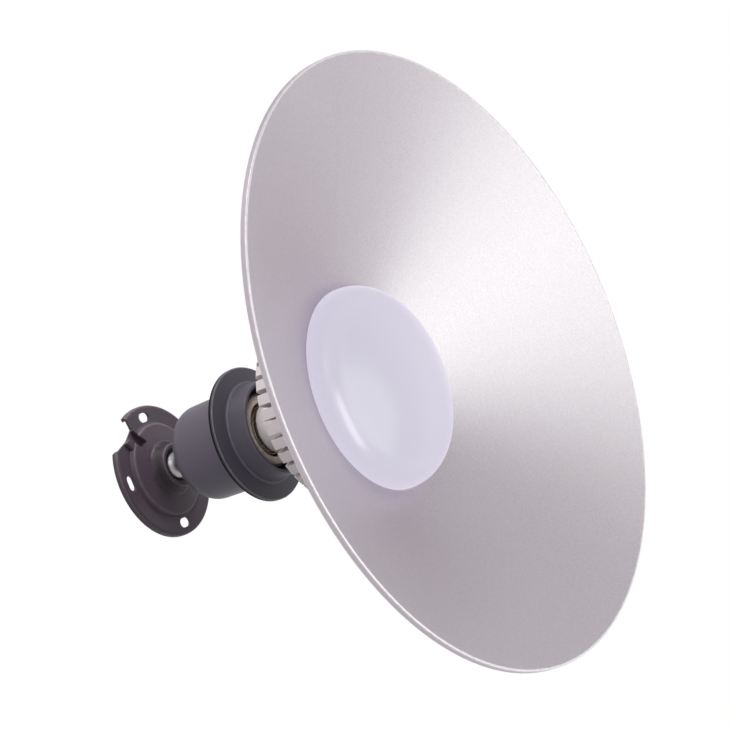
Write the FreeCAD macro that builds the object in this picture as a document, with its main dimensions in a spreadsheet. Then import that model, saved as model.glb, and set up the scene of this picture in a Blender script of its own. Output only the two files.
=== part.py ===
# LED low bay light: a ball swivel ceiling base, a screw lampholder and a finned lamp with its reflector.
# Millimetres. The origin is the centre of the ceiling face, +Z points up into the ceiling, and every
# "depth" is a distance below the ceiling. The base's slots lie on the X and Y axes, its cable notch between.
import FreeCAD, Part
import math
import os
import re

import Sketcher
from FreeCAD import Placement, Rotation, Vector

SIZES = {
    # ceiling base
    "base_radius": 38.7,
    "flange_thickness": 3.7,
    "flange_wall": 1.5,
    "flange_round": 2.0,
    "rim_width": 1.8,
    "dome_foot_radius": 28.0,
    "dome_foot_round": 0.8,
    "dome_step_height": 2.2,
    "dome_step_draft": 1.0,
    "dome_edge_round": 1.8,
    "dome_rise": 2.2,
    "boss_foot_radius": 15.6,
    "boss_foot_round": 2.5,
    "boss_lip_radius": 12.4,
    "lip_depth": 14.6,
    "lip_thickness": 1.6,
    "lip_flare": 1.6,
    "lip_round": 0.7,
    "recess_radius": 19.4,
    "recess_depth": 5.0,
    "mount_slot_count": 4,
    "mount_slot_ring": 31.9,
    "mount_slot_length": 9.0,
    "mount_slot_width": 5.4,
    "notch_floor_radius": 31.2,
    "notch_floor_width": 8.6,
    "notch_narrow_splay": 28.0,
    "notch_wide_splay": 74.0,
    "notch_overrun": 2.3,
    "hood_height": 1.9,
    "hood_narrow_side": 4.6,
    "hood_wide_side": 8.2,
    "hood_round": 1.2,
    "hood_start_radius": 24.0,
    "hood_overrun": 1.4,
    "channel_width": 6.2,
    "channel_end_radius": 20.8,
    "channel_sink": 0.5,
    # ball swivel
    "ball_radius": 9.0,
    "ball_depth": 10.0,
    "ball_clearance": 0.2,
    "lip_clearance": 0.4,
    "seat_wall": 1.3,
    "seat_length": 5.6,
    "seat_clearance": 0.3,
    "clamp_clearance": 0.3,
    "clamp_thickness": 1.5,
    "clamp_edge_clearance": 0.6,
    "clamp_screw_count": 3,
    "clamp_screw_ring": 15.4,
    "clamp_screw_bite": 1.6,
    "stem_reach": 14.2,
    "stem_radius": 5.0,
    "stem_bore_radius": 3.6,
    "stem_collar_radius": 8.0,
    "stem_collar_thickness": 2.5,
    "stem_spare_thread": 2.0,
    "stem_hole_clearance": 0.2,
    "washer_radius": 9.0,
    "washer_thickness": 1.0,
    "nut_side_count": 6,
    "nut_across_flats": 17.0,
    "nut_thickness": 5.0,
    # lampholder
    "cup_length": 42.7,
    "cup_back_radius": 27.0,
    "cup_mouth_radius": 28.0,
    "cup_floor_thickness": 2.3,
    "cup_bore_radius": 23.0,
    "cup_corner_round": 11.0,
    "cup_inner_round": 7.7,
    "ring_radius": 38.5,
    "brim_setback": 0.9,
    "brim_thickness": 0.6,
    "brim_foot_round": 1.5,
    "ledge_setback": 4.3,
    "ledge_thickness": 2.0,
    "gasket_thickness": 1.0,
    "gasket_setback": 0.1,
    "spigot_radius": 24.0,
    "spigot_wall": 2.0,
    "spigot_clearance": 0.25,
    "ring_edge_thickness": 1.3,
    "ring_edge_round": 0.7,
    "ring_face_rise": 2.4,
    "collar_base_radius": 28.9,
    "collar_base_round": 1.5,
    "collar_mouth_radius": 26.7,
    "collar_height": 11.2,
    "collar_wall": 1.7,
    "collar_lip_round": 0.6,
    # porcelain socket and its live parts
    "socket_radius": 21.2,
    "socket_clearance": 0.6,
    "socket_flange_thickness": 3.0,
    "socket_face_setback": 4.9,
    "socket_face_round": 2.4,
    "socket_bore_radius": 15.5,
    "socket_bore_round": 1.2,
    "socket_bore_length": 28.3,
    "socket_floor_thickness": 10.0,
    "terminal_place": 9.75,
    "terminal_length": 9.0,
    "terminal_width": 7.0,
    "terminal_height": 5.5,
    "terminal_recess_depth": 7.0,
    "terminal_clearance": 0.6,
    "terminal_hole_offset": 2.25,
    "rivet_radius": 1.0,
    "rivet_head_radius": 1.3,
    "rivet_head_height": 0.7,
    "rivet_bite": 2.0,
    "shell_wall": 0.4,
    "shell_flange_radius": 10.4,
    "shell_lip_setback": 2.6,
    "contact_width": 6.0,
    "contact_thickness": 0.8,
    "contact_foot_length": 3.2,
    "contact_tongue_length": 8.0,
    # screw cap of the lamp
    "thread_pitch": 3.62,
    "thread_turn_count": 5,
    "thread_reach": 23.0,
    "thread_crest_radius": 13.1,
    "thread_root_radius": 12.2,
    "thread_clearance": 0.3,
    "cap_wall": 0.35,
    "cap_length": 21.8,
    "cap_spigot_length": 11.0,
    "cap_fit": 0.15,
    "insulator_height": 3.8,
    "insulator_rim": 1.2,
    "cap_button_radius": 4.8,
    "cap_button_height": 1.4,
    "cap_button_crown": 0.9,
    "cap_pin_radius": 0.9,
    # neck of the lamp
    "neck_radius": 14.4,
    "lamp_gap": 1.7,
    "lamp_neck_length": 32.9,
    "neck_rear_round": 1.0,
    "neck_wall": 1.9,
    "neck_length": 11.0,
    "neck_flare_round": 6.0,
    "neck_flare_radius": 27.2,
    "neck_flange_radius": 33.6,
    "neck_flange_thickness": 3.5,
    "plug_length": 6.0,
    "plug_wall": 1.8,
    "plug_clearance": 0.3,
    "housing_screw_count": 3,
    "housing_screw_ring": 30.6,
    "housing_screw_bite": 8.0,
    # finned heat sink
    "sink_length": 38.8,
    "sink_radius": 53.2,
    "sink_bore_radius": 27.0,
    "sink_plate_thickness": 6.0,
    "sink_corner_chamfer": 2.0,
    "fin_count": 40,
    "fin_gap": 2.8,
    "fin_root_gap": 1.8,
    "fin_root_radius": 35.5,
    "pad_clearance": 3.0,
    "pad_height": 1.2,
    "lead_hole_radius": 4.0,
    "boss_radius": 3.0,
    "boss_height": 10.0,
    # driver
    "board_radius": 25.2,
    "board_thickness": 1.6,
    "driver_screw_count": 3,
    "driver_screw_ring": 20.0,
    "driver_screw_bite": 6.0,
    "transformer_length": 17.0,
    "transformer_width": 14.0,
    "transformer_height": 14.0,
    "transformer_place": -7.0,
    "winding_bulge": 1.5,
    "winding_length": 10.0,
    "capacitor_radius": 5.0,
    "capacitor_height": 16.0,
    "capacitor_crimp_depth": 0.5,
    "capacitor_crimp_height": 2.5,
    "capacitor_edge_round": 0.8,
    "choke_radius": 5.0,
    "choke_height": 9.0,
    "choke_flange": 1.2,
    "choke_waist_depth": 0.8,
    "part_place_x": 11.5,
    "part_place_y": 8.0,
    "cap_lead_radius": 0.8,
    "cap_lead_bend": 6.0,
    "cap_lead_place_x": 4.5,
    "cap_lead_place_y": 12.0,
    "lead_clearance": 0.1,
    "led_lead_radius": 0.7,
    "led_lead_bend": 1.5,
    "led_lead_spacing": 2.2,
    "led_lead_reach": 7.5,
    # light source
    "thermal_pad_thickness": 0.5,
    "led_board_setback": 1.5,
    "led_board_thickness": 1.6,
    "led_size": 3.0,
    "led_height": 0.7,
    "led_edge_margin": 4.5,
    "led_ring_spacing": 8.5,
    "led_count_inner": 6,
    "led_count_middle": 12,
    "led_count_outer": 18,
    "board_screw_count": 3,
    "board_screw_spacing": 5.8,
    "board_screw_bite": 5.0,
    # reflector
    "rim_radius": 170.0,
    "cone_depth": 58.8,
    "hem_thickness": 1.2,
    "hem_height": 3.7,
    "hem_round": 0.5,
    "sheet_thickness": 1.0,
    "cone_foot_gap": 0.7,
    "cone_foot_round": 1.5,
    "reflector_hole_margin": 3.6,
    "reflector_screw_count": 4,
    "reflector_screw_margin": 1.6,
    "reflector_screw_bite": 4.0,
    # diffuser
    "diffuser_overhang": 3.4,
    "diffuser_height": 26.0,
    "diffuser_wall": 1.8,
    "diffuser_side_height": 1.4,
    "diffuser_shoulder_round": 16.0,
    "diffuser_foot_thickness": 1.2,
    "diffuser_foot_width": 7.8,
    "lug_count": 3,
    "lug_width": 9.0,
    "lug_thickness": 1.6,
    "lug_setback": 0.6,
    "lug_length": 4.0,
    "lug_clearance": 0.3,
    # screws of one size, used all over
    "screw_radius": 1.5,
    "screw_head_radius": 2.6,
    "screw_head_height": 1.8,
    "screw_hole_clearance": 0.2,
    "thread_hole_clearance": 0.05,
}

# Places and fits worked out from the sizes, each an expression over SIZES and other places.
PLACES = {
    "dome_edge_radius": "dome_foot_radius - dome_step_draft",
    "dome_edge_depth": "flange_thickness + dome_step_height",
    "dome_top_depth": "dome_edge_depth + dome_rise",
    "lip_back_depth": "lip_depth - lip_thickness",
    "lip_bore_radius": "sqrt(ball_radius ^ 2 - (lip_back_depth - ball_depth) ^ 2) + lip_clearance",
    "lip_mouth_radius": "lip_bore_radius + lip_flare",
    "socket_sphere": "ball_radius + ball_clearance",
    "seat_radius": "socket_sphere + seat_wall",
    "seat_pocket_radius": "seat_radius + seat_clearance",
    "seat_front_depth": "lip_back_depth - seat_clearance",
    "seat_back_depth": "seat_front_depth - seat_length",
    "clamp_hole_radius": "sqrt((ball_radius + clamp_clearance) ^ 2 - (ball_depth - recess_depth) ^ 2)",
    "clamp_radius": "recess_radius - clamp_edge_clearance",
    "clamp_back_depth": "recess_depth - clamp_thickness",
    "pan_radius": "base_radius - rim_width",
    "pan_depth": "flange_thickness - flange_wall",
    "notch_reach": "base_radius + notch_overrun",
    "notch_run": "notch_reach - notch_floor_radius",
    "notch_narrow_side": "notch_floor_width / 2 + notch_run * tan(notch_narrow_splay)",
    "notch_wide_side": "notch_floor_width / 2 + notch_run * tan(notch_wide_splay)",
    "hood_depth": "flange_thickness + hood_height",
    "hood_end_radius": "notch_floor_radius + hood_overrun",
    "channel_floor_depth": "flange_thickness - channel_sink",
    "cup_back_depth": "lip_depth + stem_reach",
    "stem_collar_depth": "cup_back_depth - stem_collar_thickness",
    "cup_floor_depth": "cup_back_depth + cup_floor_thickness",
    "washer_front_depth": "cup_floor_depth + washer_thickness",
    "nut_front_depth": "washer_front_depth + nut_thickness",
    "stem_end_depth": "nut_front_depth + stem_spare_thread",
    "stem_hole_radius": "stem_radius + stem_hole_clearance",
    "nut_corner_radius": "nut_across_flats / 2 / cos(180 / nut_side_count)",
    "brim_depth": "cup_back_depth + cup_length",
    "ledge_depth": "brim_depth - ledge_setback",
    "brim_radius": "ring_radius - brim_setback",
    "brim_front_depth": "brim_depth + brim_thickness",
    "ring_back_depth": "brim_front_depth + gasket_thickness",
    "ring_edge_depth": "ring_back_depth + ring_edge_thickness",
    "collar_base_depth": "ring_edge_depth + ring_face_rise",
    "mouth_depth": "collar_base_depth + collar_height",
    "mouth_bore_radius": "spigot_radius + spigot_clearance",
    "spigot_bore_radius": "spigot_radius - spigot_wall",
    "ledge_radius": "socket_radius + socket_clearance",
    "ledge_back_depth": "ledge_depth - ledge_thickness",
    "spigot_end_depth": "ledge_depth + socket_flange_thickness",
    "socket_face_depth": "mouth_depth - socket_face_setback",
    "socket_floor_depth": "socket_face_depth - socket_bore_length",
    "socket_back_depth": "socket_floor_depth - socket_floor_thickness",
    "shell_lip_depth": "socket_face_depth - shell_lip_setback",
    "neck_rear_depth": "socket_face_depth + lamp_gap",
    "thread_start_depth": "neck_rear_depth - thread_reach",
    "cap_end_depth": "neck_rear_depth - cap_length",
    "sink_rear_depth": "neck_rear_depth + lamp_neck_length",
    "terminal_seat_depth": "socket_back_depth + terminal_recess_depth",
    "terminal_back_depth": "terminal_seat_depth - terminal_height",
    "hole_place_inner": "terminal_place - terminal_hole_offset",
    "hole_place_outer": "terminal_place + terminal_hole_offset",
    "shell_flange_depth": "socket_floor_depth + shell_wall",
    "shell_crest_radius": "thread_crest_radius + thread_clearance",
    "shell_root_radius": "thread_root_radius + thread_clearance",
    "contact_foot_depth": "socket_floor_depth + contact_thickness",
    "insulator_end_depth": "cap_end_depth - insulator_height",
    "cap_tip_depth": "insulator_end_depth - cap_button_height",
    "insulator_rim_depth": "cap_end_depth + insulator_rim",
    "insulator_radius": "thread_root_radius - cap_wall - cap_fit",
    "cap_spigot_radius": "thread_root_radius - cap_wall - cap_fit",
    "cap_spigot_bore": "cap_spigot_radius - neck_wall",
    "cap_spigot_depth": "neck_rear_depth - cap_spigot_length",
    "neck_bore_radius": "neck_radius - neck_wall",
    "neck_flare_depth": "neck_rear_depth + neck_length",
    "neck_flange_depth": "sink_rear_depth - neck_flange_thickness",
    "plug_radius": "sink_bore_radius - plug_clearance",
    "plug_bore_radius": "plug_radius - plug_wall",
    "plug_end_depth": "sink_rear_depth + plug_length",
    "sink_front_depth": "sink_rear_depth + sink_length",
    "sink_floor_depth": "sink_front_depth - sink_plate_thickness",
    "pad_front_depth": "sink_front_depth + pad_height",
    "board_front_depth": "sink_floor_depth - boss_height",
    "board_back_depth": "board_front_depth - board_thickness",
    "thermal_front_depth": "pad_front_depth + thermal_pad_thickness",
    "led_board_front_depth": "thermal_front_depth + led_board_thickness",
    "sheet_front_depth": "sink_front_depth + sheet_thickness",
    "diffuser_radius": "sink_radius + diffuser_overhang",
    "diffuser_foot_radius": "diffuser_radius - diffuser_foot_width",
    "cone_foot_radius": "diffuser_radius + cone_foot_gap",
    "reflector_screw_ring": "diffuser_foot_radius - screw_head_radius - reflector_screw_margin",
    "reflector_hole_radius": "reflector_screw_ring - reflector_hole_margin",
    "pad_radius": "reflector_hole_radius - pad_clearance",
    "led_board_radius": "pad_radius - led_board_setback",
    "led_ring_outer": "led_board_radius - led_edge_margin",
    "board_screw_ring": "led_ring_outer - board_screw_spacing",
    "led_ring_middle": "board_screw_ring - board_screw_spacing",
    "led_ring_inner": "led_ring_middle - led_ring_spacing",
    "rim_depth": "sheet_front_depth + cone_depth",
    "hem_bore_radius": "rim_radius - hem_thickness",
    "cone_slope": "cone_depth / (hem_bore_radius - cone_foot_radius)",
    "sheet_drop": "sheet_thickness * sqrt(1 + cone_slope ^ 2)",
    "cone_back_foot_radius": "cone_foot_radius + (sheet_drop - sheet_thickness) / cone_slope",
    "hem_heel_depth": "rim_depth - hem_height",
    "hem_heel_radius": "hem_bore_radius - (hem_height - sheet_drop) / cone_slope",
    "side_end_depth": "sheet_front_depth + diffuser_side_height",
    "diffuser_top_depth": "sheet_front_depth + diffuser_height",
    "shoulder_centre": "diffuser_radius - diffuser_shoulder_round",
    "crown_height": "diffuser_height - diffuser_side_height",
    "crown_radius": "(shoulder_centre ^ 2 + crown_height ^ 2 - diffuser_shoulder_round ^ 2)"
                    " / 2 / (crown_height - diffuser_shoulder_round)",
    "crown_centre_depth": "diffuser_top_depth - crown_radius",
    "crown_share": "crown_radius / (crown_radius - diffuser_shoulder_round)",
    "shoulder_radius_at_crown": "shoulder_centre * crown_share",
    "shoulder_depth_at_crown": "crown_centre_depth + (side_end_depth - crown_centre_depth) * crown_share",
    "inner_share": "(crown_radius - diffuser_wall) / (crown_radius - diffuser_shoulder_round)",
    "inner_radius_at_crown": "shoulder_centre * inner_share",
    "inner_depth_at_crown": "crown_centre_depth + (side_end_depth - crown_centre_depth) * inner_share",
    "diffuser_bore_radius": "diffuser_radius - diffuser_wall",
    "diffuser_foot_depth": "sheet_front_depth + diffuser_foot_thickness",
    "lug_inner_radius": "diffuser_foot_radius + lug_setback",
    "lug_outer_radius": "lug_inner_radius + lug_thickness",
}

FULL_ANGLE = 360
CAP_SKIPPED_COUNT = 3
CAP_EXTRA_COUNT = 2
TERMINAL_COUNT = "2"
NOTCH_ANGLE = "-35.5"
CLAMP_SCREW_ANGLE = "15"
LUG_ANGLE = "30"
BOARD_SCREW_ANGLE = "30"
DRIVER_SCREW_ANGLE = "0"
MATCH = 1e-4

doc = FreeCAD.newDocument("LowBayLight")
sheet = doc.addObject("Spreadsheet::Sheet", "Sizes")
for row, (alias, size) in enumerate(SIZES.items(), 1):
    sheet.set("A%d" % row, alias)
    sheet.set("B%d" % row, str(size))
    sheet.setAlias("B%d" % row, alias)
doc.recompute()


def expand(text):
    """The expression with sizes as sheet cells and places written out."""
    def replace(match):
        word = match.group(0)
        if word in PLACES:
            return "(" + expand(PLACES[word]) + ")"
        return "Sizes." + word if word in SIZES else word
    return re.sub(r"[a-z][a-z_]*", replace, text)


def value(text):
    """The number that an expression gives with the present sizes."""
    return float(sheet.evalExpression(expand(text)))


def origin_feature(body, role):
    """One of the body's own origin planes or axes."""
    return next(feature for feature in body.Origin.OriginFeatures if feature.Role == role)


def new_body(label):
    """An empty body whose label names its file."""
    body = doc.addObject("PartDesign::Body", label)
    body.Label = label
    return body


def arc(centre_axis, centre, turn):
    """Marks the stretch after a point as an arc with one coordinate of its centre given."""
    return {"axis": centre_axis, "centre": centre, "turn": turn}


def arc_geometry(start, end, bend):
    """The arc between two points whose centre has one given coordinate."""
    known = value(bend["centre"])
    if bend["axis"] == "x":
        span = (start.x - known) ** 2 - (end.x - known) ** 2
        centre = Vector(known, (span + start.y ** 2 - end.y ** 2) / (2 * (start.y - end.y)), 0)
    else:
        span = (start.y - known) ** 2 - (end.y - known) ** 2
        centre = Vector((span + start.x ** 2 - end.x ** 2) / (2 * (start.x - end.x)), known, 0)
    first, last = (start, end) if bend["turn"] == "left" else (end, start)
    circle = Part.Circle(centre, Vector(0, 0, 1), (start - centre).Length)
    first_angle = math.atan2(first.y - centre.y, first.x - centre.x)
    last_angle = math.atan2(last.y - centre.y, last.x - centre.x)
    if last_angle < first_angle:
        last_angle += 2 * math.pi
    return Part.ArcOfCircle(circle, first_angle, last_angle)


def attach(body, name, role, height=None, angle="0"):
    """A sketch on one of the body's origin planes, raised and turned about the lamp's axis."""
    sketch = body.newObject("Sketcher::SketchObject", name)
    sketch.AttachmentSupport = (origin_feature(body, role), [""])
    sketch.MapMode = "FlatFace"
    axis = Vector(0, 0, 1) if role == "XY_Plane" else Vector(0, 1, 0)
    sketch.AttachmentOffset = Placement(Vector(0, 0, 0), Rotation(axis, value(angle)))
    if height is not None:
        sketch.setExpression("AttachmentOffset.Base.z", expand(height))
    return sketch


def draw(sketch, points):
    """A closed outline through points, each placed by two expressions from the sketch's origin."""
    corners = [Vector(value(point[0]), value(point[1]), 0) for point in points]
    ends = []
    for index, point in enumerate(points):
        start = corners[index]
        end = corners[(index + 1) % len(points)]
        if len(point) == 2:
            sketch.addGeometry(Part.LineSegment(start, end))
            ends.append((1, 2))
        else:
            sketch.addGeometry(arc_geometry(start, end, point[2]))
            ends.append((1, 2) if point[2]["turn"] == "left" else (2, 1))
    rules = []
    formulas = []
    for index, point in enumerate(points):
        following = (index + 1) % len(points)
        rules.append(Sketcher.Constraint("Coincident", index, ends[index][1], following, ends[following][0]))
        formulas.append(None)
        for kind, text, place in (("DistanceX", point[0], corners[index].x),
                                  ("DistanceY", point[1], corners[index].y)):
            rules.append(Sketcher.Constraint(kind, -1, 1, index, ends[index][0], place))
            formulas.append(text)
        if len(point) == 3:
            kind = "Distance" + point[2]["axis"].upper()
            rules.append(Sketcher.Constraint(kind, -1, 1, index, 3, value(point[2]["centre"])))
            formulas.append(point[2]["centre"])
    sketch.addConstraint(rules)
    for index, text in enumerate(formulas):
        if text is not None:
            sketch.setExpression("Constraints[%d]" % index, expand(text))
    return sketch


def draw_circle(sketch, centre_x, centre_y, radius):
    """A circle placed and sized by expressions."""
    place = Vector(value(centre_x), value(centre_y), 0)
    sketch.addGeometry(Part.Circle(place, Vector(0, 0, 1), value(radius)))
    for index, (rule, text) in enumerate((
            (Sketcher.Constraint("DistanceX", -1, 1, 0, 3, place.x), centre_x),
            (Sketcher.Constraint("DistanceY", -1, 1, 0, 3, place.y), centre_y),
            (Sketcher.Constraint("Radius", 0, value(radius)), radius))):
        sketch.addConstraint(rule)
        sketch.setExpression("Constraints[%d]" % index, expand(text))
    return sketch


def below(points):
    """Points given as radius and depth, as sketch points on the upright plane."""
    turned = []
    for point in points:
        place = (point[0], "-(%s)" % point[1])
        if len(point) == 3:
            bend = dict(point[2])
            if bend["axis"] == "y":
                bend["centre"] = "-(%s)" % bend["centre"]
            place += (bend,)
        turned.append(place)
    return turned


def turn(body, points, name="Turning"):
    """A solid of revolution about the lamp's axis from radius and depth points."""
    sketch = draw(attach(body, name + "Outline", "XZ_Plane"), below(points))
    feature = body.newObject("PartDesign::Revolution", name)
    feature.Profile = sketch
    feature.ReferenceAxis = (sketch, ["V_Axis"])
    feature.Angle = FULL_ANGLE
    doc.recompute()
    return feature


def circle_edges(body, places):
    """Names of the body's circular edges at the given radius and depth pairs."""
    names = []
    for radius, depth in places:
        wanted = (value(radius), -value(depth))
        found = []
        for index, edge in enumerate(body.Shape.Edges, 1):
            if isinstance(edge.Curve, Part.Circle) and abs(edge.Curve.Center.z - wanted[1]) < MATCH:
                if abs(edge.Curve.Radius - wanted[0]) < MATCH:
                    found.append("Edge%d" % index)
        if not found:
            raise RuntimeError("%s has no edge at %s, %s" % (body.Label, radius, depth))
        names += found
    return names


def round_edges(body, radius, *places):
    """Rounds the circular edges of a turned body."""
    base = body.Tip
    names = circle_edges(body, places)
    feature = body.newObject("PartDesign::Fillet", "Round")
    feature.Base = (base, names)
    feature.setExpression("Radius", expand(radius))
    doc.recompute()
    return feature


def round_straight_edges(body, radius, depth):
    """Rounds the straight edges that lie at a depth."""
    base = body.Tip
    level = -value(depth)
    names = []
    for index, edge in enumerate(body.Shape.Edges, 1):
        if isinstance(edge.Curve, Part.Line) and all(abs(end.Z - level) < MATCH for end in edge.Vertexes):
            names.append("Edge%d" % index)
    feature = body.newObject("PartDesign::Fillet", "Round")
    feature.Base = (base, names)
    feature.setExpression("Radius", expand(radius))
    doc.recompute()
    return feature


def bevel_edges(body, size, *places):
    """Chamfers the circular edges of a turned body."""
    base = body.Tip
    names = circle_edges(body, places)
    feature = body.newObject("PartDesign::Chamfer", "Bevel")
    feature.Base = (base, names)
    feature.setExpression("Size", expand(size))
    doc.recompute()
    return feature


def pad(body, sketch, length, reverse=False, midplane=False):
    """Material raised from a sketch."""
    feature = body.newObject("PartDesign::Pad", "Pad")
    feature.Profile = sketch
    feature.Reversed = reverse
    feature.Midplane = midplane
    feature.setExpression("Length", expand(length))
    doc.recompute()
    return feature


def pocket(body, sketch, length, reverse=False):
    """Material cut away from a sketch, downwards unless reversed."""
    before = body.Shape.Volume
    feature = body.newObject("PartDesign::Pocket", "Pocket")
    feature.Profile = sketch
    feature.Reversed = reverse
    feature.setExpression("Length", expand(length))
    doc.recompute()
    if body.Shape.Volume >= before:
        raise RuntimeError("a pocket of %s cuts nothing" % body.Label)
    return feature


def around(body, feature, count):
    """Copies of a feature spread round the lamp's axis."""
    pattern = body.newObject("PartDesign::PolarPattern", "Ring")
    pattern.Originals = [feature]
    pattern.Axis = (origin_feature(body, "Z_Axis"), [""])
    pattern.Angle = FULL_ANGLE
    pattern.setExpression("Occurrences", expand(count))
    body.Tip = pattern
    doc.recompute()
    return pattern


def drill(body, ring, radius, depth, length, count, angle="0", upwards=False):
    """A ring of round holes that start at a depth and go down, or up, into the piece."""
    sketch = attach(body, "HoleOutline", "XY_Plane", "-(%s)" % depth, angle)
    draw_circle(sketch, ring, "0", radius)
    return around(body, pocket(body, sketch, length, upwards), count)


def screw_group(label, ring, seat_depth, length, count, angle="0", upwards=False):
    """A ring of equal screws with their heads on a seat and their shanks pointing down, or up."""
    body = new_body(label)
    sign = "-" if upwards else "+"
    head_depth = "(%s) %s screw_head_height" % (seat_depth, "+" if upwards else "-")
    end_depth = "(%s) %s (%s)" % (seat_depth, sign, length)
    points = below([
        (ring, head_depth),
        ("(%s) + screw_head_radius" % ring, head_depth),
        ("(%s) + screw_head_radius" % ring, seat_depth),
        ("(%s) + screw_radius" % ring, seat_depth),
        ("(%s) + screw_radius" % ring, end_depth),
        (ring, end_depth),
    ])
    sketch = draw(attach(body, "ScrewOutline", "XZ_Plane", angle=angle), points)
    feature = body.newObject("PartDesign::Revolution", "Screw")
    feature.Profile = sketch
    feature.ReferenceAxis = (sketch, ["Edge%d" % len(points)])
    feature.Angle = FULL_ANGLE
    doc.recompute()
    around(body, feature, count)
    return body


def rectangle(x_low, x_high, y_low, y_high):
    """Corner points of an upright rectangle."""
    return [(x_low, y_low), (x_high, y_low), (x_high, y_high), (x_low, y_high)]


def block(label, centre_x, centre_y, length, width, depth, height):
    """A block that stands on a depth and rises towards the ceiling."""
    body = new_body(label)
    sketch = attach(body, "BlockOutline", "XY_Plane", "-(%s)" % depth)
    draw(sketch, rectangle("%s - (%s) / 2" % (centre_x, length), "%s + (%s) / 2" % (centre_x, length),
                           "%s - (%s) / 2" % (centre_y, width), "%s + (%s) / 2" % (centre_y, width)))
    pad(body, sketch, height)
    return body


def lead(points, radius, bend):
    """A round wire along straight runs joined by arcs of one radius."""
    edges = []
    start = points[0]
    for index in range(1, len(points) - 1):
        corner = points[index]
        back = (points[index - 1] - corner).normalize()
        ahead = (points[index + 1] - corner).normalize()
        half = back.getAngle(ahead) / 2
        reach = bend / math.tan(half)
        first = corner + back * reach
        last = corner + ahead * reach
        middle = corner + (back + ahead).normalize() * (bend / math.sin(half) - bend)
        edges.append(Part.LineSegment(start, first).toShape())
        edges.append(Part.Arc(first, middle, last).toShape())
        start = last
    edges.append(Part.LineSegment(start, points[-1]).toShape())
    path = Part.Wire(edges)
    section = Part.Wire(Part.Circle(points[0], points[1] - points[0], radius).toShape())
    return path.makePipeShell([section], True, True)


def lead_group(label, shapes):
    """A group of wires as one piece of the document."""
    feature = doc.addObject("Part::Feature", label)
    feature.Label = label
    feature.Shape = Part.makeCompound(shapes)
    feature.Placement = Placement()
    return feature


# Ceiling base and ball swivel

def ceiling_base():
    body = new_body("ceiling_base")
    turn(body, [
        ("base_radius", "0"),
        ("base_radius", "flange_thickness"),
        ("dome_foot_radius", "flange_thickness"),
        ("dome_edge_radius", "dome_edge_depth"),
        ("boss_foot_radius", "dome_top_depth"),
        ("boss_lip_radius", "lip_depth"),
        ("lip_mouth_radius", "lip_depth"),
        ("lip_bore_radius", "lip_back_depth"),
        ("seat_pocket_radius", "lip_back_depth"),
        ("seat_pocket_radius", "recess_depth"),
        ("recess_radius", "recess_depth"),
        ("recess_radius", "pan_depth"),
        ("pan_radius", "pan_depth"),
        ("pan_radius", "0"),
    ])
    round_edges(body, "boss_foot_round", ("boss_foot_radius", "dome_top_depth"))
    round_edges(body, "dome_edge_round", ("dome_edge_radius", "dome_edge_depth"))
    round_edges(body, "dome_foot_round", ("dome_foot_radius", "flange_thickness"))
    round_edges(body, "flange_round", ("base_radius", "flange_thickness"))
    round_edges(body, "lip_round", ("boss_lip_radius", "lip_depth"))
    hood = attach(body, "HoodOutline", "XY_Plane", "-(hood_depth)", NOTCH_ANGLE)
    draw(hood, rectangle("hood_start_radius", "hood_end_radius", "-hood_wide_side", "hood_narrow_side"))
    pad(body, hood, "hood_depth - pan_depth")
    round_straight_edges(body, "hood_round", "hood_depth")
    notch = attach(body, "NotchOutline", "XY_Plane", angle=NOTCH_ANGLE)
    draw(notch, [
        ("notch_floor_radius", "-notch_floor_width / 2"),
        ("notch_reach", "-(notch_wide_side)"),
        ("notch_reach", "notch_narrow_side"),
        ("notch_floor_radius", "notch_floor_width / 2"),
    ])
    pocket(body, notch, "lip_depth")
    channel = attach(body, "ChannelOutline", "XY_Plane", "-(channel_floor_depth)", NOTCH_ANGLE)
    draw(channel, rectangle("channel_end_radius", "notch_reach", "-channel_width / 2", "channel_width / 2"))
    pocket(body, channel, "lip_depth")
    slot = attach(body, "SlotOutline", "XY_Plane")
    half_run = "(mount_slot_length - mount_slot_width) / 2"
    draw(slot, [
        ("mount_slot_ring + mount_slot_width / 2", "-(%s)" % half_run),
        ("mount_slot_ring + mount_slot_width / 2", half_run, arc("y", half_run, "left")),
        ("mount_slot_ring - mount_slot_width / 2", half_run),
        ("mount_slot_ring - mount_slot_width / 2", "-(%s)" % half_run,
         arc("y", "-(%s)" % half_run, "left")),
    ])
    around(body, pocket(body, slot, "lip_depth"), "mount_slot_count")
    drill(body, "clamp_screw_ring", "screw_radius + thread_hole_clearance", "recess_depth",
          "clamp_screw_bite + thread_hole_clearance", "clamp_screw_count", CLAMP_SCREW_ANGLE)
    return body


def clamp_plate():
    body = new_body("clamp_plate")
    turn(body, [
        ("clamp_hole_radius", "clamp_back_depth"),
        ("clamp_radius", "clamp_back_depth"),
        ("clamp_radius", "recess_depth"),
        ("clamp_hole_radius", "recess_depth"),
    ])
    drill(body, "clamp_screw_ring", "screw_radius + screw_hole_clearance", "clamp_back_depth",
          "clamp_thickness", "clamp_screw_count", CLAMP_SCREW_ANGLE)
    return body


def clamp_screws():
    return screw_group("clamp_screws", "clamp_screw_ring", "clamp_back_depth",
                       "clamp_thickness + clamp_screw_bite", "clamp_screw_count", CLAMP_SCREW_ANGLE)


def ball_seat():
    body = new_body("ball_seat")
    turn(body, [
        ("seat_radius", "seat_back_depth"),
        ("seat_radius", "seat_front_depth"),
        ("sqrt(socket_sphere ^ 2 - (seat_front_depth - ball_depth) ^ 2)", "seat_front_depth",
         arc("x", "0", "left")),
        ("sqrt(socket_sphere ^ 2 - (ball_depth - seat_back_depth) ^ 2)", "seat_back_depth"),
    ])
    return body


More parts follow.
